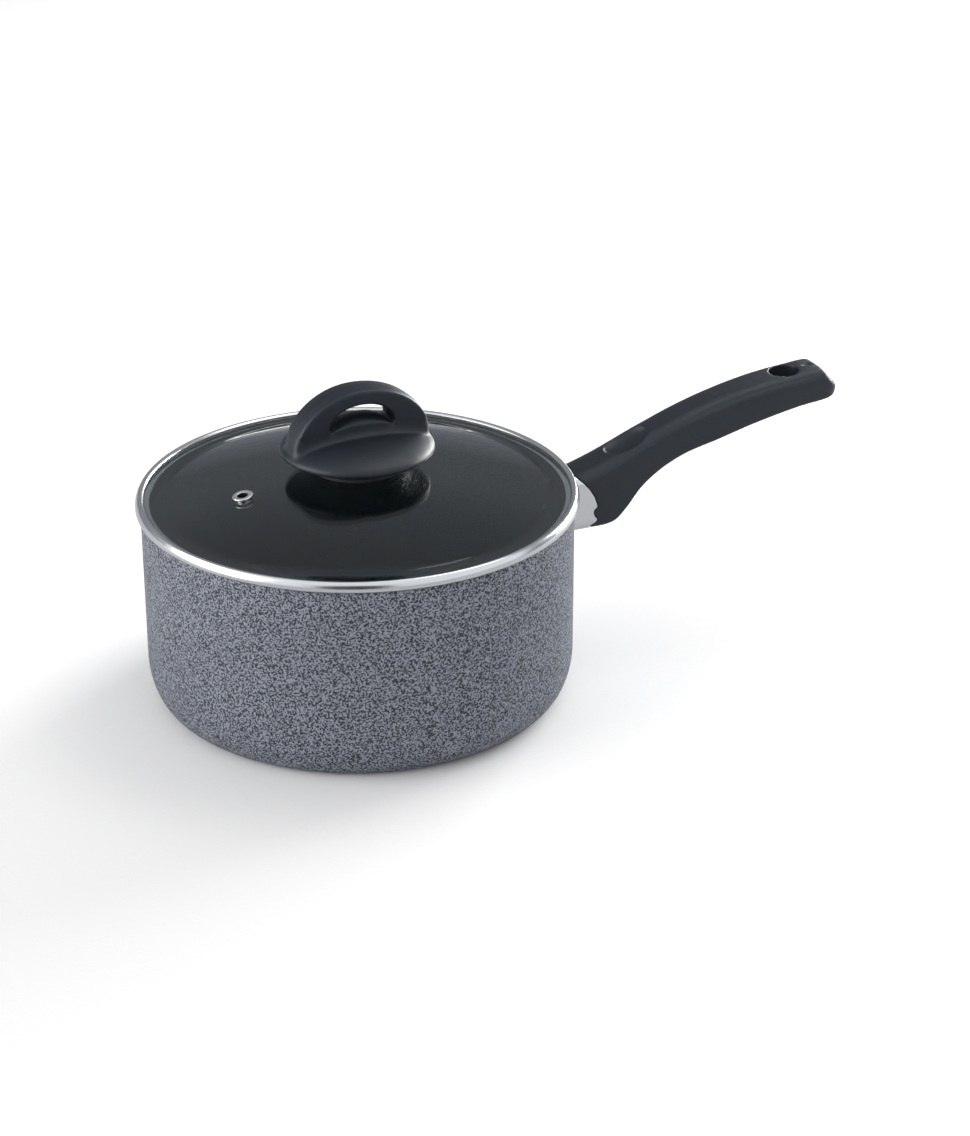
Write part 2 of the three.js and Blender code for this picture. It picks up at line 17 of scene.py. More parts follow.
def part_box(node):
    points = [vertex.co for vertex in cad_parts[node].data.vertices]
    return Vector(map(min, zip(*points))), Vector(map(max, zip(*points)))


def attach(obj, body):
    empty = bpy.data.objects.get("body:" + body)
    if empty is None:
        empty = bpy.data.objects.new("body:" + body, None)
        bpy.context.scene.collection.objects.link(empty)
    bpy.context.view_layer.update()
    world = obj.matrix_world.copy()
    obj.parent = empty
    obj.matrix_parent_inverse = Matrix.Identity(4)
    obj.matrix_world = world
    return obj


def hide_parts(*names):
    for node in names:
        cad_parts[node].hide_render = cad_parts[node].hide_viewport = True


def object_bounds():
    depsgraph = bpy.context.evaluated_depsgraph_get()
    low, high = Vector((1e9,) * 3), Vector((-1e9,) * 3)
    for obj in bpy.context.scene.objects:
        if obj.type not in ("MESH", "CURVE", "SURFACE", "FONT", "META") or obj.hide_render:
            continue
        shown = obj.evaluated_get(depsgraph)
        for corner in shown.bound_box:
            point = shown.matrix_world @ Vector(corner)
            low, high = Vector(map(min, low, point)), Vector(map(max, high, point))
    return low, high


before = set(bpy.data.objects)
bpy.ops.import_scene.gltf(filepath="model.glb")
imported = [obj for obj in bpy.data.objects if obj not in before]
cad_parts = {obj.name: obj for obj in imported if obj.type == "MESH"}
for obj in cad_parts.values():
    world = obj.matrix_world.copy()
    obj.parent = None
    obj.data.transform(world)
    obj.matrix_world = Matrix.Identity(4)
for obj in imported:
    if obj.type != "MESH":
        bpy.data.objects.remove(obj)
CAD_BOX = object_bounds()

bl_info = {
    "name": "Saucepan",
    "version": (1, 0, 0),
    "blender": (4, 5, 0),
    "location": "View3D > Sidebar > Saucepan",
    "description": "Builds a saucepan with a glass lid, its finishes and a small studio",
    "category": "Object",
}

MM = 0.001

# ---- places taken from the frame
PAN_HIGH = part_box("pan_body")[1]
RIM_LOW, RIM_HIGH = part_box("lid_rim")
GLASS_LOW, GLASS_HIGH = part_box("lid_glass")
HANDLE_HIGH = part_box("handle")[1]
BRACKET_LOW, BRACKET_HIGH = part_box("handle_bracket")
GUARD_LOW, GUARD_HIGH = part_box("flame_guard")
SCREW_LOW, SCREW_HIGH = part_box("handle_screw")
KNOB_LOW, KNOB_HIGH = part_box("lid_knob")
EYELET_LOW, EYELET_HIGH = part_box("vent_eyelet")

PAN_RADIUS = PAN_HIGH.x
PAN_HEIGHT = PAN_HIGH.z
WALL_X = PAN_RADIUS
LEVEL = (BRACKET_LOW.z + BRACKET_HIGH.z) / 2  # the handle's centre line at the wall


# ---- settings


def length(name, text, millimetres):
    return FloatProperty(
        name=name, description=text, default=millimetres * MM, unit="LENGTH", precision=5
    )


def colour(name, text, value):
    return FloatVectorProperty(
        name=name, description=text, default=value, size=3, subtype="COLOR", min=0, max=1
    )


class PanSettings(bpy.types.PropertyGroup):
    wall: length("Wall", "Thickness of the pan's side", 2.5)
    base: length("Base", "Thickness of the pan's base", 4)
    corner_width: length("Corner width", "How far the bottom corner reaches inwards", 11)
    corner_height: length("Corner height", "How far the bottom corner reaches upwards", 21.5)
    facets: IntProperty(name="Facets", description="Sides of a large turned piece", default=256)


class HandleSettings(bpy.types.PropertyGroup):
    half_width: length("Half width", "Half of the handle's width at its ends", 12.5)
    waist: length("Waist", "Half of the handle's width behind the thumb rest", 11.5)
    crown: length("Crown", "How far the top falls from the middle to the crease", 4.4)
    hole_radius: length("Hanging hole", "Radius of the hanging hole", 7.5)
    voxel: length("Voxel", "Size of the remesh", 0.5)


class LidSettings(bpy.types.PropertyGroup):
    glass: length("Glass", "Thickness of the glass", 3.2)
    flange: length("Flange", "Width of the flat band at the glass's edge", 9.3)
    arch: length("Arch", "Thickness of the knob's arch", 15.2)
    knob_voxel: length("Knob voxel", "Size of the knob's remesh", 0.45)


class FinishSettings(bpy.types.PropertyGroup):
    enamel_light: colour("Enamel light", "Raised part of the hammertone", (0.257, 0.274, 0.328))
    enamel_dark: colour("Enamel dark", "Hollows of the hammertone", (0.022, 0.027, 0.036))
    enamel_cell: length("Enamel cell", "Size of one hammertone cell", 0.88)
    bakelite: colour("Bakelite", "Moulded black plastic", (0.012, 0.0165, 0.024))
    steel: colour("Steel", "Polished stainless steel", (0.86, 0.865, 0.88))
    glass_tint: colour("Glass tint", "Tint of the tempered glass", (0.88, 0.92, 0.93))


class StageSettings(bpy.types.PropertyGroup):
    azimuth: FloatProperty(
        name="Azimuth",
        description="Turn of the view round the pan",
        default=math.radians(-25),
        subtype="ANGLE",
    )
    pitch: FloatProperty(
        name="Pitch",
        description="How far the camera looks down",
        default=math.radians(25.2),
        subtype="ANGLE",
    )
    side: length("Side", "How far the camera stands to the right of the pan's axis", 59.77)
    back: length("Back", "How far the camera stands in front of the pan's axis", 1206.7)
    height: length("Height", "Height of the camera over the floor", 627.5)
    lens: FloatProperty(name="Lens", description="Focal length in mm", default=88.73)


# ---- node helpers


def add(tree, kind, inputs=None, **settings):
    """Adds a node. Each input takes a plain value or another node's output."""
    node = tree.nodes.new(kind)
    for name, value in settings.items():
        setattr(node, name, value)
    for key, value in (inputs or {}).items():
        if isinstance(key, str):
            socket = next(s for s in node.inputs if s.name == key and s.enabled)
        else:
            socket = node.inputs[key]
        if isinstance(value, bpy.types.NodeSocket):
            tree.links.new(value, socket)
        else:
            socket.default_value = value
    return node


def calc(tree, operation, *values):
    """A math node's output."""
    return add(tree, "ShaderNodeMath", dict(enumerate(values)), operation=operation).outputs[0]


def measured(tree, operation, *vectors):
    """The plain number that a vector operation gives, such as a length or a dot product."""
    node = add(tree, "ShaderNodeVectorMath", dict(enumerate(vectors)), operation=operation)
    return node.outputs["Value"]


def ranged(tree, value, low, high, to_low=0.0, to_high=1.0, kind="SMOOTHSTEP"):
    """A value stretched from one range onto another."""
    ends = {"From Min": low, "From Max": high, "To Min": to_low, "To Max": to_high}
    node = add(tree, "ShaderNodeMapRange", {"Value": value, **ends}, interpolation_type=kind)
    return node.outputs[0]


def noise(tree, vector, scale, detail, **more):
    """A noise texture's value."""
    inputs = {"Vector": vector, "Scale": scale, "Detail": detail, **more}
    return add(tree, "ShaderNodeTexNoise", inputs).outputs["Fac"]


def sockets(tree, ins, outs):
    """Gives a tree its named inputs and outputs, and returns its two end nodes."""
    for name, kind, default in ins:
        made = tree.interface.new_socket(name=name, in_out="INPUT", socket_type=kind)
        if default is not None:
            made.default_value = default
    for name, kind in outs:
        tree.interface.new_socket(name=name, in_out="OUTPUT", socket_type=kind)
    return tree.nodes.new("NodeGroupInput"), tree.nodes.new("NodeGroupOutput")


def value_sockets(tree, outs, **values):
    """A shader group's ends: a vector and plain values in, plain values out."""
    ins = [("Vector", VECTOR, None), *((name, FLOAT, value) for name, value in values.items())]
    start, end = sockets(tree, ins, [(name, FLOAT) for name in outs])
    return start.outputs, end.inputs


FLOAT, VECTOR = "NodeSocketFloat", "NodeSocketVector"
INTEGER, GEOMETRY, MATERIAL = "NodeSocketInt", "NodeSocketGeometry", "NodeSocketMaterial"


def named_tree(name, kind, fill):
    """A node tree made once, and found again by its name."""
    if name not in bpy.data.node_groups:
        fill(bpy.data.node_groups.new(name, kind))
    return bpy.data.node_groups[name]


# ---- geometry trees


def fill_turned(tree):
    """Turns an outline of (radius, 0, height) points round Z."""
    start, end = sockets(
        tree,
        [("Outline", GEOMETRY, None), ("Facets", INTEGER, 96), ("Material", MATERIAL, None)],
        [("Piece", GEOMETRY)],
    )
    outline = start.outputs["Outline"]
    facets = start.outputs["Facets"]
    size = add(tree, "GeometryNodeAttributeDomainSize", {"Geometry": outline})
    columns = calc(tree, "ADD", facets, 1.0)
    counts = {"Vertices X": size.outputs["Point Count"], "Vertices Y": columns}
    grid = add(tree, "GeometryNodeMeshGrid", counts)
    index = add(tree, "GeometryNodeInputIndex").outputs[0]
    row = calc(tree, "FLOOR", calc(tree, "DIVIDE", calc(tree, "ADD", index, 0.5), columns))
    column = calc(tree, "SUBTRACT", index, calc(tree, "MULTIPLY", row, columns))
    turn = calc(tree, "DIVIDE", calc(tree, "MULTIPLY", column, math.tau), facets)
    position = add(tree, "GeometryNodeInputPosition").outputs[0]
    place = add(
        tree,
        "GeometryNodeSampleIndex",
        {"Geometry": outline, "Value": position, "Index": row},
        data_type="FLOAT_VECTOR",
        domain="POINT",
    )
    split = add(tree, "ShaderNodeSeparateXYZ", {0: place.outputs[0]})
    x = calc(tree, "MULTIPLY", split.outputs["X"], calc(tree, "COSINE", turn))
    y = calc(tree, "MULTIPLY", split.outputs["X"], calc(tree, "SINE", turn))
    point = add(tree, "ShaderNodeCombineXYZ", {"X": x, "Y": y, "Z": split.outputs["Z"]}).outputs[0]
    shape = {"Geometry": grid.outputs["Mesh"], "Position": point}
    bent = add(tree, "GeometryNodeSetPosition", shape).outputs[0]
    welded = add(tree, "GeometryNodeMergeByDistance", {"Geometry": bent, "Distance": 1e-7})
    finish_tree(tree, welded.outputs[0], start, end)


def finish_tree(tree, geometry, start, end):
    """Every tree ends with its instances made real and its material set."""
    real = add(tree, "GeometryNodeRealizeInstances", {"Geometry": geometry}).outputs[0]
    finish = {"Geometry": real, "Material": start.outputs["Material"]}
    painted = add(tree, "GeometryNodeSetMaterial", finish)
    tree.links.new(painted.outputs[0], end.inputs[0])


def fill_row(tree):
    """Repeats a piece along a line from a first place, a step apart."""
    start, end = sockets(
        tree,
        [
            ("Piece", GEOMETRY, None),
            ("Count", INTEGER, 2),
            ("First", VECTOR, (0, 0, 0)),
            ("Step", VECTOR, (0, 0, 0.01)),
            ("Material", MATERIAL, None),
        ],
        [("Pieces", GEOMETRY)],
    )
    ends = {"Start Location": start.outputs["First"], "Offset": start.outputs["Step"]}
    line = add(
        tree, "GeometryNodeMeshLine", {"Count": start.outputs["Count"], **ends}, mode="OFFSET"
    )
    places = {"Points": line.outputs[0], "Instance": start.outputs["Piece"]}
    copies = add(tree, "GeometryNodeInstanceOnPoints", places)
    finish_tree(tree, copies.outputs[0], start, end)


def placed(name, data):
    """A new object, linked to the scene."""
    made = bpy.data.objects.new(name, data)
    bpy.context.scene.collection.objects.link(made)
    return made


def grown(name, mesh, tree, **values):
    """Runs a node tree on a mesh and returns the result as a plain object."""
    seed = placed(name + ".seed", mesh)
    modifier = seed.modifiers.new("Tree", "NODES")
    modifier.node_group = tree
    for item in tree.interface.items_tree:
        if item.item_type == "SOCKET" and item.in_out == "INPUT" and item.name in values:
            modifier[item.identifier] = values[item.name]
    return made_plain(seed, name)


def made_plain(source, name=None):
    """Evaluates an object's modifiers into a new plain object and removes the old one."""
    name = name or source.name.split(".")[0]
    depsgraph = bpy.context.evaluated_depsgraph_get()
    mesh = bpy.data.meshes.new_from_object(source.evaluated_get(depsgraph), depsgraph=depsgraph)
    mesh.name = name
    source.modifiers.clear()
    bpy.data.objects.remove(source)
    return placed(name, mesh)


# ---- mesh helpers


def tidied(piece, sharp=math.radians(35), recalculate=True):
    """Welds doubles, turns faces outwards and shades smooth with sharp corners kept."""
    work = bmesh.new()
    work.from_mesh(piece.data)
    bmesh.ops.remove_doubles(work, verts=work.verts, dist=1e-6)
    bmesh.ops.dissolve_degenerate(work, edges=work.edges, dist=1e-7)
    if recalculate:
        bmesh.ops.recalc_face_normals(work, faces=work.faces)
    work.to_mesh(piece.data)
    work.free()
    piece.data.shade_smooth()
    if sharp:
        piece.data.set_sharp_from_angle(angle=sharp)
    return piece


def outline_mesh(points):
    """A chain of edges through (radius, height) points."""
    mesh = bpy.data.meshes.new("outline")
    corners = [(r, 0.0, z) for r, z in points]
    links = [(i, i + 1) for i in range(len(corners) - 1)]
    mesh.from_pydata(corners, links, [])
    return mesh


def metres(points):
    """Flat points in millimetres, turned into metres."""
    return [(a * MM, b * MM) for a, b in points]


def rounded(corners, steps=4):
    """Rounds an outline's corners. A corner is (r, z) or (r, z, fillet), in millimetres."""
    points = []
    count = len(corners)
    for i, corner in enumerate(corners):
        here = np.array(corner[:2], float)
        fillet = corner[2] if len(corner) > 2 else 0
        if not fillet or i in (0, count - 1):
            points.append(here)
            continue
        before = np.array(corners[i - 1][:2], float) - here
        after = np.array(corners[i + 1][:2], float) - here
        near = here + before * min(fillet / np.linalg.norm(before), 0.48)
        far = here + after * min(fillet / np.linalg.norm(after), 0.48)
        for t in np.linspace(0, 1, steps + 1):
            points.append((1 - t) ** 2 * near + 2 * t * (1 - t) * here + t**2 * far)
    return metres(points)


def arc(r, z, width, height, start, stop, steps):
    """Points of an elliptical arc, in the unit that its centre is in."""
    angles = np.radians(np.linspace(start, stop, steps + 1))
    return [(r + width * math.cos(a), z + height * math.sin(a)) for a in angles]


def turned(name, points, material, facets=96, place=None):
    tree = named_tree("Turned Piece", "GeometryNodeTree", fill_turned)
    piece = grown(name, outline_mesh(points), tree, Facets=facets, Material=material)
    if place:
        piece.data.transform(place)
    return tidied(paint(piece, material))


def lofted(name, sections, capped=True):
    """Skins a list of closed sections that all have the same number of points."""
    mesh = bpy.data.meshes.new(name)
    count = len(sections[0])
    corners = [tuple(p) for section in sections for p in section]
    faces = []
    for ring in range(len(sections) - 1):
        for i in range(count):
            a = ring * count + i
            b = ring * count + (i + 1) % count
            faces.append((a, b, b + count, a + count))
    if capped:
        last = (len(sections) - 1) * count
        faces.append(tuple(range(count))[::-1])
        faces.append(tuple(range(last, last + count)))
    mesh.from_pydata(corners, [], faces)
    return tidied(placed(name, mesh), sharp=None)


def joined(piece, tool, operation):
    """Cuts a piece with a tool, or joins the two."""
    modifier = piece.modifiers.new("Boolean", "BOOLEAN")
    modifier.operation = operation
    modifier.solver = "EXACT"
    modifier.object = tool
    made = made_plain(piece)
    bpy.data.objects.remove(tool)
    return made


def softened(piece, voxel, passes):
    """Remeshes a piece evenly and smooths it, as a moulding's edges are soft."""
    remesh = piece.modifiers.new("Voxels", "REMESH")
    remesh.mode = "VOXEL"
    remesh.voxel_size = voxel
    smooth = piece.modifiers.new("Smooth", "SMOOTH")
    smooth.factor = 0.5
    smooth.iterations = passes
    made = made_plain(piece)
    return tidied(made, sharp=None, recalculate=False)


def slab(name, outline, half_width):
    """A closed outline in X and Z, given thickness across Y."""
    flat = [[(x, y, z) for x, z in outline] for y in (-half_width, half_width)]
    return lofted(name, flat)


def rod(name, radius, low, high, place=(0, 0), sides=48):
    turn = np.linspace(0, math.tau, sides, endpoint=False)
    ring = [(place[0] + radius * math.cos(a), place[1] + radius * math.sin(a)) for a in turn]
    return lofted(name, [[(x, y, z) for x, y in ring] for z in (low, high)])


def through(knots, xs):
    """Heights at xs of the smooth curve that passes through the knots and never overshoots."""
    x, y = np.array(knots, float).T
    step = np.diff(x)
    slope = np.diff(y) / step
    tangent = np.empty_like(x)
    tangent[0], tangent[-1] = slope[0], slope[-1]
    tangent[1:-1] = (slope[:-1] * step[1:] + slope[1:] * step[:-1]) / (step[:-1] + step[1:])
    xs = np.clip(xs, x[0], x[-1])
    i = np.clip(np.searchsorted(x, xs, side="right") - 1, 0, len(step) - 1)
    t = (xs - x[i]) / step[i]
    h00 = (1 + 2 * t) * (1 - t) ** 2
    h10 = t * (1 - t) ** 2
    h01 = t * t * (3 - 2 * t)
    h11 = t * t * (t - 1)
    return h00 * y[i] + h10 * step[i] * tangent[i] + h01 * y[i + 1] + h11 * step[i] * tangent[i + 1]


def dress(piece, body, slot, *nodes):
    """Says what a finished piece rides on and what it stands for. The slot is not used."""
    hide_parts(*nodes)
    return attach(piece, body)


def paint(piece, material):
    """Gives a whole piece one finish."""
    piece.data.materials.clear()
    piece.data.materials.append(material)
    piece.data.polygons.foreach_set("material_index", [0] * len(piece.data.polygons))
    return piece


def part_paint(piece, materials, pick):
    """Adds finishes to a painted piece. pick tells the number of the one that a face takes."""
    for material in materials:
        piece.data.materials.append(material)
    for face in piece.data.polygons:
        face.material_index = int(pick(face))


def off_axis(point):
    """How far a point is from the Z axis."""
    return math.hypot(point.x, point.y)


def paint_node(name, material):
    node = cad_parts[name]
    node.data.materials.clear()
    node.data.materials.append(material)


# ---- shader groups


def fill_grain(tree):
    """Fine moulded or sprayed grain: a value round 0.5 and a height."""
    given, made = value_sockets(tree, ("Grain", "Height"), Size=0.001, Detail=3.0)
    scale = calc(tree, "DIVIDE", 1.0, given["Size"])
    value = noise(tree, given["Vector"], scale, given["Detail"])
    height = calc(tree, "MULTIPLY", calc(tree, "SUBTRACT", value, 0.5), given["Size"])
    tree.links.new(value, made["Grain"])
    tree.links.new(height, made["Height"])


def fill_patches(tree):
    """Slow change over the surface between two values, such as handling marks in a gloss."""
    given, made = value_sockets(tree, ["Value"], Size=0.03, Low=0.2, High=0.3)
    scale = calc(tree, "DIVIDE", 1.0, given["Size"])
    value = noise(tree, given["Vector"], scale, 4.0, Roughness=0.6)
    spread = ranged(tree, value, 0.3, 0.7, given["Low"], given["High"], "LINEAR")
    tree.links.new(spread, made["Value"])


def fill_turning(tree):
    """Fine lines that run round Z, as turning and polishing leave them."""
    given, made = value_sockets(tree, ("Lines", "Height"), Pitch=0.0004, Depth=0.00001)
    x, y, z = add(tree, "ShaderNodeSeparateXYZ", {0: given["Vector"]}).outputs
    flat = add(tree, "ShaderNodeCombineXYZ", {"X": x, "Y": y}).outputs[0]
    along = calc(tree, "DIVIDE", measured(tree, "LENGTH", flat), given["Pitch"])
    up = calc(tree, "DIVIDE", z, given["Pitch"])
    around = calc(tree, "ARCTAN2", y, x)
    point = add(tree, "ShaderNodeCombineXYZ", {"X": along, "Y": up, "Z": around}).outputs[0]
    lines = noise(tree, point, 1.0, 3.0)
    tree.links.new(lines, made["Lines"])
    tree.links.new(calc(tree, "MULTIPLY", lines, given["Depth"]), made["Height"])


def fill_hammertone(tree):
    """Winding cells of a hammertone coat: a mask of the raised parts and a height."""
    given, made = value_sockets(tree, ("Mask", "Height"), Cell=0.0014, Edge=0.07)
    scale = calc(tree, "DIVIDE", 1.0, given["Cell"])
    worms = noise(tree, given["Vector"], scale, 1.2, Roughness=0.55, Distortion=0.35)
    low = calc(tree, "SUBTRACT", 0.5, given["Edge"])
    high = calc(tree, "ADD", 0.5, given["Edge"])
    mask = ranged(tree, worms, low, high)
    tree.links.new(mask, made["Mask"])
    height = calc(tree, "MULTIPLY", mask, calc(tree, "MULTIPLY", given["Cell"], 0.06))
    tree.links.new(height, made["Height"])


def fill_parting(tree):
    """The fine groove that the halves of a mould leave along the plane Y = 0."""
    given, made = value_sockets(tree, ["Groove"], Width=0.0003)
    split = add(tree, "ShaderNodeSeparateXYZ", {0: given["Vector"]})
    share = calc(tree, "DIVIDE", calc(tree, "ABSOLUTE", split.outputs["Y"]), given["Width"])
    tree.links.new(ranged(tree, share, 0.4, 1.0, 1.0, 0.0), made["Groove"])


def group(tree, name, fill, vector, **values):
    """Places a shader group that works from a vector."""
    made = named_tree(name, "ShaderNodeTree", fill)
    return add(tree, "ShaderNodeGroup", {"Vector": vector, **values}, node_tree=made)


def grain(tree, vector, size, detail=3.0):
    return group(tree, "Fine Grain", fill_grain, vector, Size=size, Detail=detail)


def patches(tree, vector, size, low, high):
    made = group(tree, "Slow Patches", fill_patches, vector, Size=size, Low=low, High=high)
    return made.outputs["Value"]


def turning(tree, vector, pitch, depth):
    return group(tree, "Turning Lines", fill_turning, vector, Pitch=pitch, Depth=depth)


# ---- materials


def new_material(name, fill, **constants):
    """A material made once. fill gives, by input, what changes over the surface."""
    if name in bpy.data.materials:
        return bpy.data.materials[name]
    material = bpy.data.materials.new(name)
    material.use_nodes = True
    tree = material.node_tree
    shader = tree.nodes["Principled BSDF"]
    for key, value in constants.items():
        shader.inputs[key.replace("_", " ")].default_value = value
    vector = add(tree, "ShaderNodeTexCoord").outputs["Object"]
    for key, value in fill(tree, vector).items():
        tree.links.new(value, shader.inputs[key])
    return material


def mixed(tree, factor, low, high):
    """A colour between two colours or colour sockets."""
    a, b = (v if isinstance(v, bpy.types.NodeSocket) else (*v, 1) for v in (low, high))
    node = add(tree, "ShaderNodeMix", {"Factor": factor, "A": a, "B": b}, data_type="RGBA")
    return next(s for s in node.outputs if s.enabled)


def bump(tree, height, strength):
    inputs = {"Height": height, "Strength": strength, "Distance": 1.0}
    return add(tree, "ShaderNodeBump", inputs).outputs[0]


def shades(base, dark, light):
    """A darker and a lighter shade of one colour."""
    return [tuple(min(1.0, c * share) for c in base) for share in (dark, light)]


def grained(name, size, tones, patch, rough, strength=0, detail=3.0, **constants):
    """A material with a fine grain in two tones and, with some strength, on its surface."""

    def fill(tree, vector):
        fine = grain(tree, vector, size, detail)
        surface = {
            "Base Color": mixed(tree, fine.outputs["Grain"], *tones),
            "Roughness": patches(tree, vector, patch, *rough),
        }
        if strength:
            surface["Normal"] = bump(tree, fine.outputs["Height"], strength)
        return surface

    return new_material(name, fill, **constants)


def hammertone_enamel():
    finish = bpy.context.scene.saucepan_finish

    def fill(tree, vector):
        cells = group(tree, "Hammertone", fill_hammertone, vector, Cell=finish.enamel_cell)
        mask = cells.outputs["Mask"]
        speckle = grain(tree, vector, 0.0006).outputs["Grain"]
        light = mixed(tree, speckle, *shades(finish.enamel_light, 0.7, 1.3))
        return {
            "Base Color": mixed(tree, mask, finish.enamel_dark, light),
            "Roughness": ranged(tree, mask, 0.0, 1.0, 0.5, 0.36, "LINEAR"),
            "Normal": bump(tree, cells.outputs["Height"], 0.6),
        }

    return new_material("hammertone_enamel", fill, Metallic=0.0)


def nonstick_coating():
    def fill(tree, vector):
        spray = grain(tree, vector, 0.0009, 4.0)
        lines = turning(tree, vector, 0.0011, 0.00003)
        height = calc(tree, "ADD", spray.outputs["Height"], lines.outputs["Height"])
        dark, light = (0.029, 0.037, 0.042), (0.042, 0.052, 0.058)
        return {
            "Base Color": mixed(tree, spray.outputs["Grain"], dark, light),
            "Roughness": patches(tree, vector, 0.05, 0.38, 0.5),
            "Normal": bump(tree, height, 0.25),
        }

    return new_material("nonstick_coating", fill)


def metal(name, base, rough, pitch, depth, strength=0.2, tones=(0.9, 1.08), patch=0.025, centre=None):
    """A polished, brushed or turned metal. Its lines run round Z, or round the centre given."""

    def fill(tree, vector):
        own = vector
        if centre is not None:
            moved = {"Vector": vector, "Location": -centre}
            own = add(tree, "ShaderNodeMapping", moved).outputs[0]
        lines = turning(tree, own, pitch, depth)
        return {
            "Base Color": mixed(tree, lines.outputs["Lines"], *shades(base, *tones)),
            "Roughness": patches(tree, vector, patch, *rough),
            "Normal": bump(tree, lines.outputs["Height"], strength),
        }

    return new_material(name, fill, Metallic=1.0)


def bakelite(parted=False):
    """Moulded black plastic, with or without the mould's parting line, whose groove is darkened with
    painted shade.
    """
    finish = bpy.context.scene.saucepan_finish
    line_width, line_depth = 0.5 * MM, 0.6 * MM

    def fill(tree, vector):
        fine = grain(tree, vector, 0.00035, 2.0)
        base = mixed(tree, fine.outputs["Grain"], *shades(finish.bakelite, 0.7, 1.35))
        height = fine.outputs["Height"]
        if parted:
            line = group(tree, "Parting Line", fill_parting, vector, Width=line_width)
            groove = line.outputs["Groove"]
            height = calc(tree, "SUBTRACT", height, calc(tree, "MULTIPLY", groove, line_depth))
            # the groove is also mixed to black: painted shade in it
            base = mixed(tree, groove, base, (0, 0, 0))
        return {
            "Base Color": base,
            "Roughness": patches(tree, vector, 0.02, 0.33, 0.43),
            "Normal": bump(tree, height, 0.35),
        }

    return new_material("parted_bakelite" if parted else "moulded_bakelite", fill)


def tempered_glass():
    tones = shades(bpy.context.scene.saucepan_finish.glass_tint, 0.97, 1.03)
    clear = {"Transmission_Weight": 1.0, "IOR": 1.5, "Metallic": 0.0}
    return grained("tempered_glass", 0.02, tones, 0.03, (0.0, 0.02), **clear)


def ground_glass():
    """The glass's ground edge."""
    tones = (0.10, 0.12, 0.12), (0.16, 0.18, 0.18)
    cloudy = {"Transmission_Weight": 0.3, "IOR": 1.5, "Metallic": 0.0}
    return grained("ground_glass", 0.0004, tones, 0.01, (0.5, 0.65), **cloudy)


def silicone():
    tones = (0.012, 0.012, 0.013), (0.03, 0.03, 0.032)
    return grained("black_silicone", 0.0007, tones, 0.01, (0.55, 0.7), 0.2)


def polished_steel():
    base = tuple(bpy.context.scene.saucepan_finish.steel)
    return metal("polished_steel", base, (0.18, 0.26), 0.0005, 0.000006)


# Nearly black steel: painted shade for the rim's inner skirt and the eyelet's bore, which lie in
# shade.
def shade_painted_steel():
    return metal("shade_painted_steel", (0.05, 0.055, 0.065), (0.5, 0.62), 0.0005, 0.000004)


def brushed_steel():
    return metal("brushed_steel", (0.58, 0.585, 0.6), (0.28, 0.4), 0.00025, 0.00002)


def plated_steel():
    return metal("plated_steel", (0.62, 0.62, 0.61), (0.22, 0.34), 0.0004, 0.00002)


def turned_aluminium():
    return metal("turned_aluminium", (0.66, 0.67, 0.68), (0.26, 0.4), 0.0007, 0.00005, 0.5)


def brass():
    return metal("turned_brass", (0.70, 0.52, 0.22), (0.22, 0.34), 0.0005, 0.00002)


# ---- pan

BASE_GROOVES = (34, 50, 66)  # inner radii of the underside's turned grooves, in millimetres
STRAIGHT_LOW = 30 * MM  # the wall is straight from here up to STRAIGHT_END below its brim
STRAIGHT_END = 6 * MM


def pan_outline(pan):
    """Underside with turned grooves, bottom corner, wall, lip, and the inside back to the axis."""
    corner_r = PAN_RADIUS - pan.corner_width
    inner_r = PAN_RADIUS - pan.wall
    lip = pan.wall / 2
    straight = np.linspace(STRAIGHT_LOW, PAN_HEIGHT - STRAIGHT_END, 8)
    points = [(0, 0), (8 * MM, 0)]
    for groove in BASE_GROOVES:
        profile = [(groove, 0), (groove + 0.4, 0.5, 0.3), (groove + 1.6, 0.5, 0.3), (groove + 2, 0)]
        points += rounded(profile, 3)
    points += [(80 * MM, 0), (corner_r - 1.5 * MM, 0)]
    points += arc(corner_r, pan.corner_height, pan.corner_width, pan.corner_height, -90, 0, 28)
    points += [(PAN_RADIUS, z) for z in straight]
    points += arc(PAN_RADIUS - lip, PAN_HEIGHT - lip, lip, lip, 0, 180, 10)
    points += [(inner_r, z) for z in straight[::-1]]
    deep = pan.corner_height - pan.base
    points += arc(corner_r, pan.corner_height, inner_r - corner_r, deep, 0, -90, 24)
    points += [(r * MM, pan.base) for r in (80, 60, 40, 20, 0)]
    return points


class SAUCEPAN_OT_pan(bpy.types.Operator):
    """Turn the pan body: enamel outside, non-stick coat inside and a bare turned base"""

    bl_idname = "saucepan.pan"
    bl_label = "Pan"

    def execute(self, context):
        pan = context.scene.saucepan_pan
        bare_radius = PAN_RADIUS - pan.corner_width - 1 * MM
        middle = PAN_RADIUS - pan.wall / 2

        def pick(face):
            """0 enamel, 1 non-stick coat, 2 bare metal."""
            radius = off_axis(face.center)
            outward = Vector((face.center.x, face.center.y, 0)).dot(face.normal)
            if face.center.z < 1 * MM and radius < bare_radius:
                return 2
            return radius < middle and (outward <= 0 or face.normal.z > 0.3)

        body = turned("pan_shell", pan_outline(pan), hammertone_enamel(), pan.facets)
        part_paint(body, (nonstick_coating(), turned_aluminium()), pick)
        dress(body, "pan", "pan", "pan_body")
        return {"FINISHED"}


# ---- bracket, rivets, flame guard

# The handle's front end in side view: millimetres from the wall and from the centre line.
FRONT = [
    (6.6, 17.0), (7.4, 14.5), (9.2, 12.4), (12.0, 9.6), (14.8, 6.2), (17.2, 2.2), (18.7, -1.8),
    (19.0, -3.4), (17.3, -4.6), (16.9, -6.2), (17.8, -8.6), (18.9, -9.6), (18.6, -11.0),
    (16.0, -12.4), (15.4, -13.4), (16.4, -14.8),
]


def front_x(z_mm):
    """Where the handle's front end is at a height, in millimetres from the wall."""
    heights = [z for _, z in FRONT][::-1]
    places = [x for x, _ in FRONT][::-1]
    return float(np.interp(z_mm, heights, places))


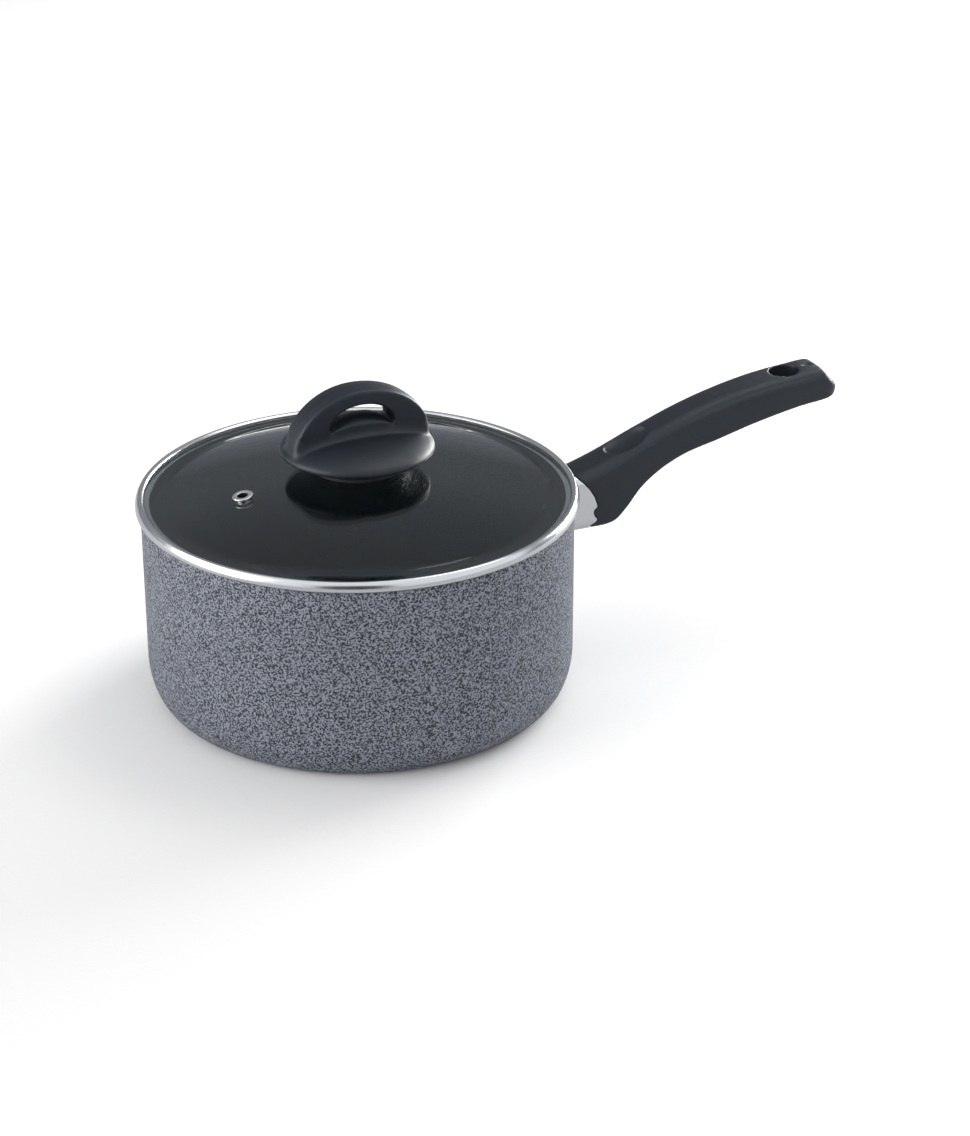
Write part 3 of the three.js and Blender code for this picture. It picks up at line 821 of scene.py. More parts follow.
def rectangle_ring(half, low, high, corner, steps=10):
    """A closed ring of (y, z) points round a rectangle with rounded corners."""
    centres = [
        (half - corner, low + corner, -90),
        (half - corner, high - corner, 0),
        (-half + corner, high - corner, 90),
        (-half + corner, low + corner, 180),
    ]
    ring = []
    for i, (y, z, start) in enumerate(centres):
        bend = arc(y, z, corner, corner, start, start + 90, steps)
        y_next, z_next, turn = centres[(i + 1) % 4]
        onward = arc(y_next, z_next, corner, corner, turn, turn, 1)[0]
        here = bend[-1]
        side = [
            (here[0] + (onward[0] - here[0]) * t, here[1] + (onward[1] - here[1]) * t)
            for t in np.linspace(0, 1, 2 * steps)[1:-1]
        ]
        ring += bend + side
    return ring


def guard_sections(stations=14):
    """Rings of the guard's skin from the wall to the handle's front end."""
    inset = 0.1 * MM  # kept clear of the piece's own width on each side
    wall_gap, front_gap = 0.35 * MM, 0.15  # to the pan and, in millimetres, to the handle
    half = (GUARD_HIGH.y - GUARD_LOW.y) / 2 - inset
    low, high = GUARD_LOW.z, GUARD_HIGH.z
    middle = (low + high) / 2
    ring = rectangle_ring(half, low, high, 4.6 * MM)
    sections = []
    for share in np.linspace(0, 1, stations):
        # the sheet is swaged: slightly narrower where it meets the wall
        size = 1 - 0.02 * (1 - share) ** 4
        section = []
        for y, z in ring:
            at_wall = math.sqrt((PAN_RADIUS + wall_gap) ** 2 - y * y)
            at_front = WALL_X + (front_x((z - LEVEL) / MM) - front_gap) * MM
            x = at_wall + (at_front - at_wall) * share
            section.append((x, y * size, middle + (z - middle) * size))
        sections.append(section)
    return sections


class SAUCEPAN_OT_mounting(bpy.types.Operator):
    """Make the flame guard and the rivets, and finish the bracket"""

    bl_idname = "saucepan.mounting"
    bl_label = "Mounting"

    def execute(self, context):
        sleeve = lofted("flame_sleeve", guard_sections(), capped=False)
        sheet = sleeve.modifiers.new("Sheet", "SOLIDIFY")
        sheet.thickness = 0.8 * MM
        sheet.offset = -1
        edge = sleeve.modifiers.new("Edge", "BEVEL")
        edge.width = 0.25 * MM
        edge.segments = 2
        edge.limit_method = "ANGLE"
        sleeve = paint(tidied(made_plain(sleeve, "flame_sleeve"), recalculate=False), guard_steel())
        dress(sleeve, "pan", "guard", "flame_guard")
        self.rivets()
        paint_node("handle_bracket", brushed_steel())
        return {"FINISHED"}

    def rivets(self):
        low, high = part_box("bracket_rivet_lower")
        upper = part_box("bracket_rivet_upper")[0]
        reach = (high.x - low.x) / MM
        head, shank, dome = 3.0, 1.9, 1.7
        profile = [(0, 0, 0), (0.9, 0.1), (1.8, 0.45), (2.6, 1.05), (head, dome - 0.15, 0.2)]
        profile += [(head - 0.1, dome, 0.1), (shank, dome, 0.1), (shank, reach - dome, 0.1)]
        profile += [(head - 0.1, reach - dome, 0.1), (head, reach - dome + 0.15, 0.2)]
        profile += [(2.6, reach - 1.05), (1.8, reach - 0.45), (0.9, reach - 0.1), (0, reach)]
        one = turned("rivet.seed", rounded(profile), turned_aluminium(), 32)
        one.data.transform(Matrix.Rotation(math.pi / 2, 4, "Y"))
        pair = grown(
            "rivet_pair",
            one.data.copy(),
            named_tree("Row", "GeometryNodeTree", fill_row),
            Count=2,
            First=(low.x, 0, (low.z + high.z) / 2),
            Step=(0, 0, upper.z - low.z),
            Material=turned_aluminium(),
        )
        bpy.data.objects.remove(one)
        tidied(paint(pair, turned_aluminium()))
        coated = PAN_RADIUS - 2.6 * MM  # the heads inside the pan wear its coating
        part_paint(pair, [nonstick_coating()], lambda face: face.center.x < coated)
        dress(pair, "pan", "rivet", "bracket_rivet_lower", "bracket_rivet_upper")


def guard_steel():
    """Polished sheet: the lines run along the guard."""
    tones = shades(bpy.context.scene.saucepan_finish.steel, 0.92, 1.06)

    def fill(tree, vector):
        stretched = add(tree, "ShaderNodeMapping", {"Vector": vector, "Scale": (40, 2500, 2500)})
        lines = noise(tree, stretched.outputs[0], 1.0, 2.0)
        return {
            "Base Color": mixed(tree, lines, *tones),
            "Roughness": patches(tree, vector, 0.012, 0.12, 0.22),
            "Normal": bump(tree, calc(tree, "MULTIPLY", lines, 0.00001), 0.2),
        }

    return new_material("guard_steel", fill, Metallic=1.0)


# ---- handle

# Side view of the handle, in millimetres from the wall and from the centre line.
CROWN = [
    (0, 11.5), (7, 12.9), (14, 14.7), (26, 18.6), (48, 27.5), (70, 35.4), (92, 41.1), (114, 44.8),
    (134, 46.4), (142, 46.9), (146, 46.6), (149.5, 43.6), (152.5, 40.2), (155, 36.9), (156, 35.2),
]
UNDERSIDE = [
    (0, -13.6), (15, -14.4), (21, -14.6), (25, -14.4), (30, -13.0), (35, -8.6), (43, 0.6),
    (54, 8.6), (65, 13.8), (86, 19.2), (109, 25.0), (131, 29.2), (150, 31.4), (154, 32.2),
    (156, 33.4),
]
THUMB_REST = (39.5, 24.9)  # place on the crown
MARK = (141, 47.5)  # centre of the ball that presses the small mark near the tip
TIP = 156
TIP_ROUND = 9
HOLE_INSET = 28 * MM  # from the tip to the hanging hole's axis
CLEAR = 40 * MM  # a reach that is well outside the handle


def handle_section(x, handle):
    """One closed section across the handle, as (y, z) in millimetres."""
    top = float(through(CROWN, np.array([x]))[0])
    low = float(through(UNDERSIDE, np.array([x]))[0])
    wide, waist = handle.half_width / MM, handle.waist / MM
    widths = [(0, wide), (24, wide), (56, waist), (92, waist + 0.3), (122, wide), (TIP, wide)]
    half = float(through(widths, np.array([x]))[0])
    if x > TIP - TIP_ROUND:
        turn = min(1.0, (x - TIP + TIP_ROUND) / TIP_ROUND)
        half *= max(0.08, math.sqrt(1 - turn * turn * 0.985))
    tall = top - low
    crown = min(handle.crown / MM, 0.36 * tall, half * 0.6)
    corner = min(2.2, 0.3 * tall, 0.6 * half)
    taper = 0.8 * min(1.0, half / wide)
    flat = 3.4 + 2.6 * (x / TIP) ** 3  # the top is flatter towards the tip
    points = []
    for s in np.linspace(-1, 1, 27):
        points.append((half * s, top - crown * abs(s) ** flat - shoulder_groove(x, s)))
    shoulder = top - crown
    foot = half - taper
    for t in np.linspace(0, 1, 9)[1:-1]:
        side_z = shoulder + (low + corner - shoulder) * t
        points.append((half - taper * t**1.5, side_z))
    points += arc(foot - corner, low + corner, corner, corner, 0, -90, 6)
    points += [(y, low) for y in np.linspace(foot - corner, -foot + corner, 7)[1:-1]]
    points += arc(-foot + corner, low + corner, corner, corner, -90, -180, 6)
    for t in np.linspace(1, 0, 9)[1:-1]:
        side_z = shoulder + (low + corner - shoulder) * t
        points.append((-half + taper * t**1.5, side_z))
    return points


def shoulder_groove(x, share):
    """Depth of the fine groove beside the shoulder, which fades out towards the thumb rest."""
    (start, fade_in), (stop, fade_out) = (62, 18), (146, 8)  # places and lengths of its ends
    along = min(1.0, max(0.0, (x - start) / fade_in)) * min(1.0, max(0.0, (stop - x) / fade_out))
    depth, at, width = 0.45, 0.87, 0.045  # the last two as shares of the half width
    return depth * along * math.exp(-(((abs(share) - at) / width) ** 2))


def handle_blank(handle):
    """The handle's uncut form."""
    xs = list(np.arange(2, TIP - 12, 1.5))
    xs += list(TIP - 12 * (1 - np.sin(np.linspace(0, math.pi / 2, 26))))
    sections = []
    for x in xs:
        ring = handle_section(x, handle)
        sections.append([(WALL_X + x * MM, y * MM, LEVEL + z * MM) for y, z in ring])
    return lofted("handle_grip", sections)


def ellipsoid(name, centre, radii, tilt=0):
    """A smooth cutter: centre as (x, z) in millimetres from the wall, radii in millimetres."""
    mesh = bpy.data.meshes.new(name)
    work = bmesh.new()
    bmesh.ops.create_uvsphere(work, u_segments=48, v_segments=24, radius=1)
    work.to_mesh(mesh)
    work.free()
    place = Matrix.Translation((WALL_X + centre[0] * MM, 0, LEVEL + centre[1] * MM))
    size = Matrix.Diagonal((*(radius * MM for radius in radii), 1))
    mesh.transform(place @ Matrix.Rotation(math.radians(tilt), 4, "Y") @ size)
    return placed(name, mesh)


def handle_cutters(handle):
    """What is cut from the handle: thumb rest, hanging hole, front end, screw recess and mark."""
    hole_x = HANDLE_HIGH.x - HOLE_INSET
    screw = ((SCREW_LOW.x + SCREW_HIGH.x) / 2, 0)
    below = LEVEL - CLEAR
    front = [(WALL_X + x * MM, LEVEL + z * MM) for x, z in FRONT]
    front += [(WALL_X + 16 * MM, below), (WALL_X - 20 * MM, below)]
    front += [(WALL_X - 20 * MM, LEVEL + CLEAR), (WALL_X + FRONT[0][0] * MM, LEVEL + CLEAR)]
    return [
        ellipsoid("thumb", THUMB_REST, (12.5, 9.4, 4.6), -24),
        rod("hole", handle.hole_radius, LEVEL, LEVEL + 100 * MM, (hole_x, 0), 64),
        slab("front", front, CLEAR),
        rod("recess", 5.2 * MM, below, LEVEL - 8 * MM, screw),
        rod("pilot", 2.4 * MM, below, SCREW_HIGH.z + 0.5 * MM, screw),
        ellipsoid("mark", MARK, (3.2, 1.6, 1.4)),
    ]


class SAUCEPAN_OT_handle(bpy.types.Operator):
    """Loft the handle, cut its front end, thumb rest, hanging hole and screw recess, and soften it"""

    bl_idname = "saucepan.handle"
    bl_label = "Handle"

    def execute(self, context):
        handle = context.scene.saucepan_handle
        body = handle_blank(handle)
        for cutter in handle_cutters(handle):
            body = joined(body, cutter, "DIFFERENCE")
        dress(paint(softened(body, handle.voxel, 4), bakelite()), "pan", "handle", "handle")
        self.screw()
        return {"FINISHED"}

    def screw(self):
        low, high = SCREW_LOW, SCREW_HIGH
        middle = (low.x + high.x) / 2
        place = Matrix.Translation((middle, 0, low.z))
        screw = screw_piece("grip_screw", (high.z - low.z) / MM, 4.2, 3.0, 2.0, place)
        dress(screw, "pan", "screw", "handle_screw")
        washer_low, washer_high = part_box("handle_washer")
        tall = (washer_high.z - washer_low.z) / MM
        place = Matrix.Translation((middle, 0, washer_low.z))
        inner, outer, soft = 2.3, 4.5, 0.15
        outline = [(inner, 0.0), (outer, 0, soft), (outer, tall, soft), (inner, tall), (inner, 0.0)]
        washer = turned("grip_washer", rounded(outline), plated_steel(), 48, place)
        dress(washer, "pan", "screw", "handle_washer")


def screw_piece(name, long, head, head_height, shank, place):
    """A pan-head screw, head downwards, with a cross recess and a cut thread."""
    outline = [(0, 0.0), *arc(0, head_height - 1, head, head_height - 1, -78, -8, 8)]
    outline += [(head, head_height - 0.4, 0.2), (head - 0.2, head_height, 0.1)]
    outline += [(shank, head_height, 0.1)]
    pitch, depth, z = 0.8, 0.3, head_height + 1.2
    while z < long - 1.4:
        outline += [(shank, z), (shank - depth, z + pitch / 2)]
        z += pitch
    outline += [(shank - 0.1, long - 1.2), (shank - 0.9, long), (0, long)]
    piece = turned(name, rounded(outline), plated_steel(), 40, None)
    mouth, floor, deep = 2.1, 1.1, 1.7  # half lengths of a slot at its mouth and floor, its depth
    bar = metres([(-mouth, -1), (mouth, -1), (floor, deep), (-floor, deep)])
    for turn in (0, math.pi / 2):
        tool = slab("cross", bar, 0.45 * MM)
        tool.data.transform(Matrix.Rotation(turn, 4, "Z"))
        piece = joined(piece, tool, "DIFFERENCE")
    piece.data.transform(place)
    return tidied(piece)


# ---- lid

SEAT = RIM_LOW.z + 7 * MM  # the plane of the rim that rests on the pan's edge
RIM_OUTER = RIM_HIGH.x
RIM_CREST = RIM_HIGH.z
GLASS_RADIUS = GLASS_HIGH.x
GLASS_APEX = GLASS_HIGH.z


def dome_heights(radii, lid):
    """Top of the glass at each radius: a shallow dome that runs softly into a flat band."""
    edge = GLASS_LOW.z + lid.glass
    rise = GLASS_APEX - edge
    sphere = dome_sphere(lid)
    height = np.sign(sphere) * np.sqrt(np.maximum(sphere**2 - radii**2, 0)) - (sphere - rise)
    soft = 0.5 * MM
    return edge + (height + np.sqrt(height**2 + soft**2)) / 2


def dome_sphere(lid):
    """Radius of the sphere that the dome is part of."""
    rise = GLASS_APEX - GLASS_LOW.z - lid.glass
    reach = GLASS_RADIUS - lid.flange
    return (reach**2 + rise**2) / (2 * rise)


def rim_outline(pan, lid):
    """Skirt, flange, bead and the lip over the glass."""
    seat = SEAT / MM
    outer = RIM_OUTER / MM
    crest = RIM_CREST / MM
    skirt = rim_skirt(pan)
    hem = seat - 7  # the skirt's lower edge
    inside = skirt - 0.8
    glass_r = GLASS_RADIUS / MM
    lip_low = (GLASS_LOW.z + lid.glass) / MM + 0.25
    face, top = 5.5, 1.25  # radii of the bead's leaning face and of its round top
    start, meet = 8, 38  # directions, in degrees, where the two begin
    side, rise = math.cos(math.radians(meet)), math.sin(math.radians(meet))
    face_r = outer - face * math.cos(math.radians(start))
    face_z = crest - top - (face - top) * rise
    crest_r = face_r + (face - top) * side
    outline = [(inside, hem + 0.4), (skirt - 0.7, hem, 0.1), (skirt, hem, 0.2), (skirt, seat, 0.3)]
    outline += [(outer - 1.6, seat, 0.3), (outer - 0.9, seat + 0.15, 0.4), (outer, seat + 1.1, 0.5)]
    bead = arc(face_r, face_z, face, face, start, meet, 10)
    bead += arc(crest_r, crest - top, top, top, meet, 100, 10)[1:]
    lip = [(crest_r - 0.7, crest - 0.14), (crest_r - 1.2, crest - 0.42)]
    lip += [(glass_r - 0.75, crest - 0.85, 0.2), (glass_r - 0.8, lip_low, 0.1)]
    lip += [(glass_r + 0.3, lip_low, 0.1), (glass_r + 0.3, seat + 0.5, 0.1)]
    lip += [(inside, seat + 0.5, 0.3), (inside, hem + 0.4)]
    return rounded(outline) + metres(bead) + rounded(lip)


def rim_skirt(pan):
    """Outer radius of the skirt, in millimetres: it hangs just inside the pan's wall."""
    return (PAN_RADIUS - pan.wall) / MM - 1.2


class SAUCEPAN_OT_rim(bpy.types.Operator):
    """Turn the polished rim: skirt, flange, rolled bead and the lip over the glass"""

    bl_idname = "saucepan.rim"
    bl_label = "Rim"

    def execute(self, context):
        pan = context.scene.saucepan_pan
        outline = rim_outline(pan, context.scene.saucepan_lid)
        rim = turned("rim_band", outline, polished_steel(), pan.facets)
        # The skirt's inner faces take the nearly black steel: painted shade under the glass.
        reach = (rim_skirt(pan) - 0.3) * MM
        top = SEAT + 0.5 * MM
        part_paint(rim, [shade_painted_steel()], lambda f: off_axis(f.center) < reach and f.center.z < top)
        dress(rim, "lid", "rim", "lid_rim")
        return {"FINISHED"}


def glass_outline(lid, edge):
    """Upper face, rounded edge and lower face of the dome, from the stem's hole and back."""
    stem, soft = 6.3 * MM, 0.3 * MM
    radii = np.linspace(stem + soft, GLASS_RADIUS - 1.2 * MM, 64)
    top = dome_heights(radii, lid)
    half = lid.glass / 2
    points = [(stem, top[0] - soft), *zip(radii, top)]
    points += arc(GLASS_RADIUS - edge, float(top[-1]) - half, edge, half, 75, -75, 10)
    points += [(r, z - lid.glass) for r, z in zip(radii[::-1], top[::-1])]
    points += [(stem, top[0] - lid.glass + soft), points[0]]
    return points


class SAUCEPAN_OT_glass(bpy.types.Operator):
    """Turn the domed glass with its stem hole and bore the vent hole"""

    bl_idname = "saucepan.glass"
    bl_label = "Glass"

    def execute(self, context):
        lid = context.scene.saucepan_lid
        edge = 1.0 * MM
        facets = context.scene.saucepan_pan.facets
        glass = turned("glass_dome", glass_outline(lid, edge), tempered_glass(), facets)
        drill = rod("drill", 3.3 * MM, -8 * MM, 8 * MM, sides=40)
        drill.data.transform(vent_place(lid))
        glass = joined(glass, drill, "DIFFERENCE")
        paint(tidied(glass, recalculate=False), tempered_glass())
        clear = GLASS_RADIUS - edge
        part_paint(glass, [ground_glass()], lambda face: off_axis(face.center) > clear)
        dress(glass, "lid", "glass", "lid_glass")
        return {"FINISHED"}


def vent_place(lid):
    """Where the vent stands: on the dome's upper face, square to it."""
    middle = (EYELET_LOW + EYELET_HIGH) / 2
    angle = math.atan2(middle.y, middle.x)
    lean = math.asin(off_axis(middle) / dome_sphere(lid))
    out = Vector((math.cos(angle), math.sin(angle), 0))
    normal = out * math.sin(lean) + Vector((0, 0, 1)) * math.cos(lean)
    below = 2.2 * MM  # from the eyelet's middle up to the glass's face
    turn = Matrix.Rotation(angle, 4, "Z") @ Matrix.Rotation(lean, 4, "Y")
    return Matrix.Translation(middle + normal * below) @ turn


class SAUCEPAN_OT_vent(bpy.types.Operator):
    """Turn the steam vent's eyelet and its washer"""

    bl_idname = "saucepan.vent"
    bl_label = "Vent"

    def execute(self, context):
        lid = context.scene.saucepan_lid
        place = vent_place(lid)
        under = -lid.glass / MM - 0.3  # top of the washer
        thick = 0.8
        low = under - thick - 0.3  # where the eyelet's lower flange turns out
        bore = 2.5
        outline = [(bore, low - 0.6), (bore + 0.2, low - 0.85, 0.2), (4.5, low - 0.85, 0.3)]
        outline += [(4.8, low - 0.4, 0.2), (4.5, low, 0.1), (3.0, low, 0.1), (3.0, 0.3, 0.1)]
        outline += arc(4.35, 0.7, 0.5, 0.45, -90, 70, 6)
        outline += [(4.0, 1.18), (2.9, 1.14), (2.6, 0.95), (bore, 0.6), (bore, low - 0.6)]
        eyelet = turned("vent_ring", rounded(outline), eyelet_steel(place), 64, place)
        back = place.inverted()
        # The bore's wall takes the nearly black steel: painted shade inside the hole.
        bore_shade_reach = (bore + 0.08) * MM
        part_paint(eyelet, [shade_painted_steel()], lambda face: off_axis(back @ face.center) < bore_shade_reach)
        dress(eyelet, "lid", "eyelet", "vent_eyelet")
        inner, outer = 3.3, 5.6
        washer = [(inner, under - thick), (outer, under - thick, 0.3), (outer, under, 0.3)]
        washer += [(inner, under), (inner, under - thick)]
        seal = turned("vent_seal", rounded(washer), silicone(), 48, place)
        dress(seal, "lid", "seal", "vent_washer")
        return {"FINISHED"}


def eyelet_steel(place):
    """Satin steel whose fine lines run round the eyelet."""
    base = tuple(bpy.context.scene.saucepan_finish.steel)
    own = {"tones": (0.95, 1.1), "patch": 0.004, "centre": place.translation}
    return metal("eyelet_steel", base, (0.3, 0.42), 0.0003, 0.00001, 0.2, **own)


# ---- knob and stem

KNOB_FOOT = KNOB_LOW.z / MM
KNOB_TOP = KNOB_HIGH.z / MM
KNOB_RADIUS = KNOB_HIGH.x / MM
KNOB_EDGE = 7.4  # heights over the foot, in millimetres
KNOB_DOME = 15.4
BORE = 4.8  # radius and depth of the bore for the insert
BORE_DEPTH = 12.9
GRIP_TOP = 30.2
GRIP_SPRING = 20.4
GRIP_FLOOR = 21.4


def knob_disc():
    """The domed disc under the arch, with the bore for its insert."""
    foot = KNOB_FOOT
    edge = foot + KNOB_EDGE
    bore_top = foot + BORE_DEPTH
    outline = [(0, bore_top), (BORE, bore_top), (BORE, foot), (22.4, foot), (23.2, foot + 0.6)]
    outline += [(26, foot + 2.6), (30, foot + 4.3), (KNOB_RADIUS - 2.6, foot + 5.2)]
    outline += arc(KNOB_RADIUS - 3.2, edge, 3.2, 2.1, -60, 0, 6)
    outline += arc(0, edge, KNOB_RADIUS, KNOB_DOME - KNOB_EDGE, 4, 90, 28)
    return turned("knob_grip", metres(outline), bakelite(), 128)


def arch_blank(lid):
    """The plate that the arch is cut from: flat faces and a crowned outer edge."""
    half = lid.arch / 2
    tall = (KNOB_TOP - KNOB_FOOT - KNOB_EDGE) * MM
    wide = (KNOB_RADIUS - 2) * MM
    base_z = (KNOB_FOOT + KNOB_EDGE) * MM
    crown, soften = 0.7 * MM, 1.1 * MM
    fuller = 2.2 * MM  # how far the shoulder on the handle's side stands out
    sections = []
    for turn in np.linspace(-90, 90, 37):
        y = math.sin(math.radians(turn)) * half
        edge = min(1, max(0, (abs(y) - half + soften) / soften))
        inset = crown * (y / half) ** 2 + soften * (1 - math.sqrt(1 - edge * edge))
        ring = arc(0, base_z, wide - inset, tall - inset, 0, 180, 72)
        ring = [(x + fuller * bulge(x / (wide - inset)), z) for x, z in ring]
        ring += [(-wide + inset, base_z - 1.5 * MM), (wide - inset, base_z - 1.5 * MM)]
        sections.append([(x, y, z) for x, z in ring])
    return lofted("arch", sections)


def bulge(share):
    """0 at the top and the foot of the arch's handle side, 1 half-way round it."""
    return 2 * share * math.sqrt(max(0.0, 1 - share**2)) if share > 0 else 0.0


def grip_cutter(lid):
    """The finger gap: arched above, with a floor that swells upwards, and opening to both faces."""
    half = lid.arch / 2 + 1 * MM
    spring = (KNOB_FOOT + GRIP_SPRING) * MM
    rise = GRIP_TOP - GRIP_SPRING
    wide, narrower = 15.8, 1.2  # half width under the arch, and how much less it is at the floor
    drop, hump = 2, 3.2  # how far the lower half hangs, and how far its floor swells
    sections = []
    for y in np.linspace(-half, half, 25):
        flare = 0.9 * abs(y / half) ** 3
        above = arc(0, 0, wide + flare, rise + flare, 0, 180, 40)
        floor = GRIP_FLOOR - GRIP_SPRING + drop - flare + hump * (1 - (y / half) ** 2)
        below = arc(0, -drop, wide - narrower + flare, floor, 180, 0, 40)
        sections.append([(x * MM, y, spring + z * MM) for x, z in above + below])
    return lofted("gap", sections)


def blended(knob, lid):
    """Rounds the hollow corner where the arch's faces run into the disc."""
    corner_group = knob.vertex_groups.new(name="corner")
    low, high = (KNOB_FOOT + KNOB_EDGE + 1) * MM, (KNOB_FOOT + GRIP_FLOOR - 2) * MM
    reach, fade = 4.6 * MM, 2 * MM  # to each side of the corner, and at the blend's two ends
    for corner in knob.data.vertices:
        off = abs(abs(corner.co.y) - lid.arch / 2) / reach
        lift = min(1.0, (corner.co.z - low) / fade, (high - corner.co.z) / fade)
        weight = max(0.0, 1 - off) * max(0.0, lift)
        if weight > 0:
            corner_group.add([corner.index], weight, "REPLACE")
    smooth = knob.modifiers.new("Blend", "SMOOTH")
    smooth.factor = 0.5
    smooth.iterations = 200
    smooth.vertex_group = corner_group.name
    return tidied(made_plain(knob), sharp=None, recalculate=False)


class SAUCEPAN_OT_knob(bpy.types.Operator):
    """Shape the knob: a domed disc joined to an arch with a finger gap"""

    bl_idname = "saucepan.knob"
    bl_label = "Knob"

    def execute(self, context):
        lid = context.scene.saucepan_lid
        arch = joined(arch_blank(lid), grip_cutter(lid), "DIFFERENCE")
        knob = joined(knob_disc(), arch, "UNION")
        bore = rod("bore", BORE * MM, (KNOB_FOOT - 5) * MM, (KNOB_FOOT + BORE_DEPTH) * MM)
        knob = joined(knob, bore, "DIFFERENCE")
        knob = blended(softened(knob, lid.knob_voxel, 4), lid)
        dress(paint(knob, bakelite(parted=True)), "lid", "knob", "lid_knob")
        return {"FINISHED"}


class SAUCEPAN_OT_stem(bpy.types.Operator):
    """Turn what holds the knob: insert, seal, grommet, washer and screw"""

    bl_idname = "saucepan.stem"
    bl_label = "Stem"

    def execute(self, context):
        bore = 2.6
        self.bush("stem_insert", "knob_insert", bore, 4.5, brass(), "insert")
        self.bush("stem_washer", "knob_washer", bore, 9.0, plated_steel(), "screw")
        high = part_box("knob_seal")[1]
        top, wide = high.z / MM, high.x / MM
        radii = np.linspace(6.5, wide - 0.5, 10)
        under = dome_heights(radii * MM, context.scene.saucepan_lid) / MM + 0.25
        outline = [(bore, top - 0.95), *zip(radii, under), (wide, under[-1] + 0.3)]
        outline += [(wide, top - 0.3, 0.2), (wide - 0.4, top, 0.2), (bore, top), (bore, top - 0.95)]
        seal = turned("stem_seal", rounded(outline), silicone(), 96)
        dress(seal, "lid", "seal", "knob_seal")
        low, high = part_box("knob_grommet")
        base, top, wide = low.z / MM, high.z / MM, high.x / MM
        neck = 6
        outline = [(bore, base), (wide, base, 0.4), (wide, base + 1.5, 0.4), (neck, base + 1.5, 0.2)]
        outline += [(neck, top, 0.3), (bore, top), (bore, base)]
        grommet = turned("stem_grommet", rounded(outline), silicone(), 64)
        dress(grommet, "lid", "seal", "knob_grommet")
        low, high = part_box("knob_screw")
        place = Matrix.Translation((0, 0, low.z))
        screw = screw_piece("stem_screw", (high.z - low.z) / MM, 4.5, 2.8, 2.2, place)
        dress(screw, "lid", "screw", "knob_screw")
        return {"FINISHED"}

    def bush(self, name, node, inner, outer, material, slot):
        low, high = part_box(node)
        base, top = low.z / MM, high.z / MM
        soft = 0.25
        outline = [(inner, base + soft), (inner + soft, base), (outer, base, soft)]
        outline += [(outer, top, soft), (inner + soft, top), (inner, top - soft)]
        outline.append(outline[0])
        dress(turned(name, rounded(outline), material, 64), "lid", slot, node)


# ---- stage

LAMPS = (  # name, place, size and watts
    ("key_right", (1.08, 1.2, 0.42), (1.0, 0.6), 35),
    ("fill_left", (-1.35, -0.4, 0.5), (1.3, 1.1), 15),
    ("top", (0.5, 0.4, 1.4), (0.9, 0.5), 3),
)
# Brightness of what gloss mirrors, from the level in front over the top to the level behind.
SKY = ((0.08, 0.19), (0.15, 0.26), (0.37, 0.26), (0.43, 0.85))


def floor_material():
    def fill(tree, vector):
        paper = grain(tree, vector, 0.002).outputs["Grain"]
        tone = mixed(tree, paper, (0.92, 0.92, 0.92), (0.96, 0.96, 0.96))
        # what gloss mirrors of the floor is toned down, as by a card in front of it
        glossy = add(tree, "ShaderNodeLightPath").outputs["Is Glossy Ray"]
        return {"Base Color": mixed(tree, glossy, tone, (0.42, 0.43, 0.44))}

    return new_material("studio_paper", fill, Roughness=0.9)


def area_light(name, place, target, size, power):
    """A lamp that faces the target and lights the set without being seen itself."""
    data = bpy.data.lights.new(name, "AREA")
    data.shape = "RECTANGLE"
    data.size, data.size_y = size
    data.energy = power
    lamp = placed(name, data)
    lamp.location = place
    lamp.visible_camera = False
    lamp.rotation_euler = (Vector(target) - Vector(place)).to_track_quat("-Z", "Y").to_euler()


def studio_world(turn):
    """Even light all round. Gloss mirrors its own sky instead, with a dark card in it."""
    world = bpy.data.worlds.new("studio")
    world.use_nodes = True
    tree = world.node_tree
    tree.nodes.clear()
    out = tree.nodes.new("ShaderNodeOutputWorld")
    even = add(tree, "ShaderNodeBackground", {"Color": (1, 1, 1, 1), "Strength": 0.66})
    direction = add(tree, "ShaderNodeTexCoord").outputs["Generated"]
    card = turn @ Vector((0, -1, 0.22)).normalized()
    shade = ranged(tree, measured(tree, "DOT_PRODUCT", direction, card), 0.93, 0.965)
    behind = measured(tree, "DOT_PRODUCT", direction, turn @ Vector((0, 1, 0)))
    height = add(tree, "ShaderNodeSeparateXYZ", {0: direction}).outputs["Z"]
    slope = calc(tree, "DIVIDE", calc(tree, "ARCTAN2", height, behind), math.pi)
    ramp = add(tree, "ShaderNodeValToRGB", {0: slope})
    stops = ramp.color_ramp.elements
    stops[0].position, stops[0].color = 0.0, (0.22, 0.24, 0.28, 1)
    stops[1].position, stops[1].color = 1.0, (0.75, 0.77, 0.8, 1)
    for position, light in SKY:
        stops.new(position).color = (light * 0.94, light * 0.98, light * 1.04, 1)
    tone = mixed(tree, shade, ramp.outputs[0], (0.03, 0.03, 0.035))
    mirrored = add(tree, "ShaderNodeBackground", {"Color": tone, "Strength": 1.0})
    glossy = add(tree, "ShaderNodeLightPath").outputs["Is Glossy Ray"]
    choices = {0: glossy, 1: even.outputs[0], 2: mirrored.outputs[0]}
    choice = add(tree, "ShaderNodeMixShader", choices)
    tree.links.new(choice.outputs[0], out.inputs["Surface"])
    bpy.context.scene.world = world


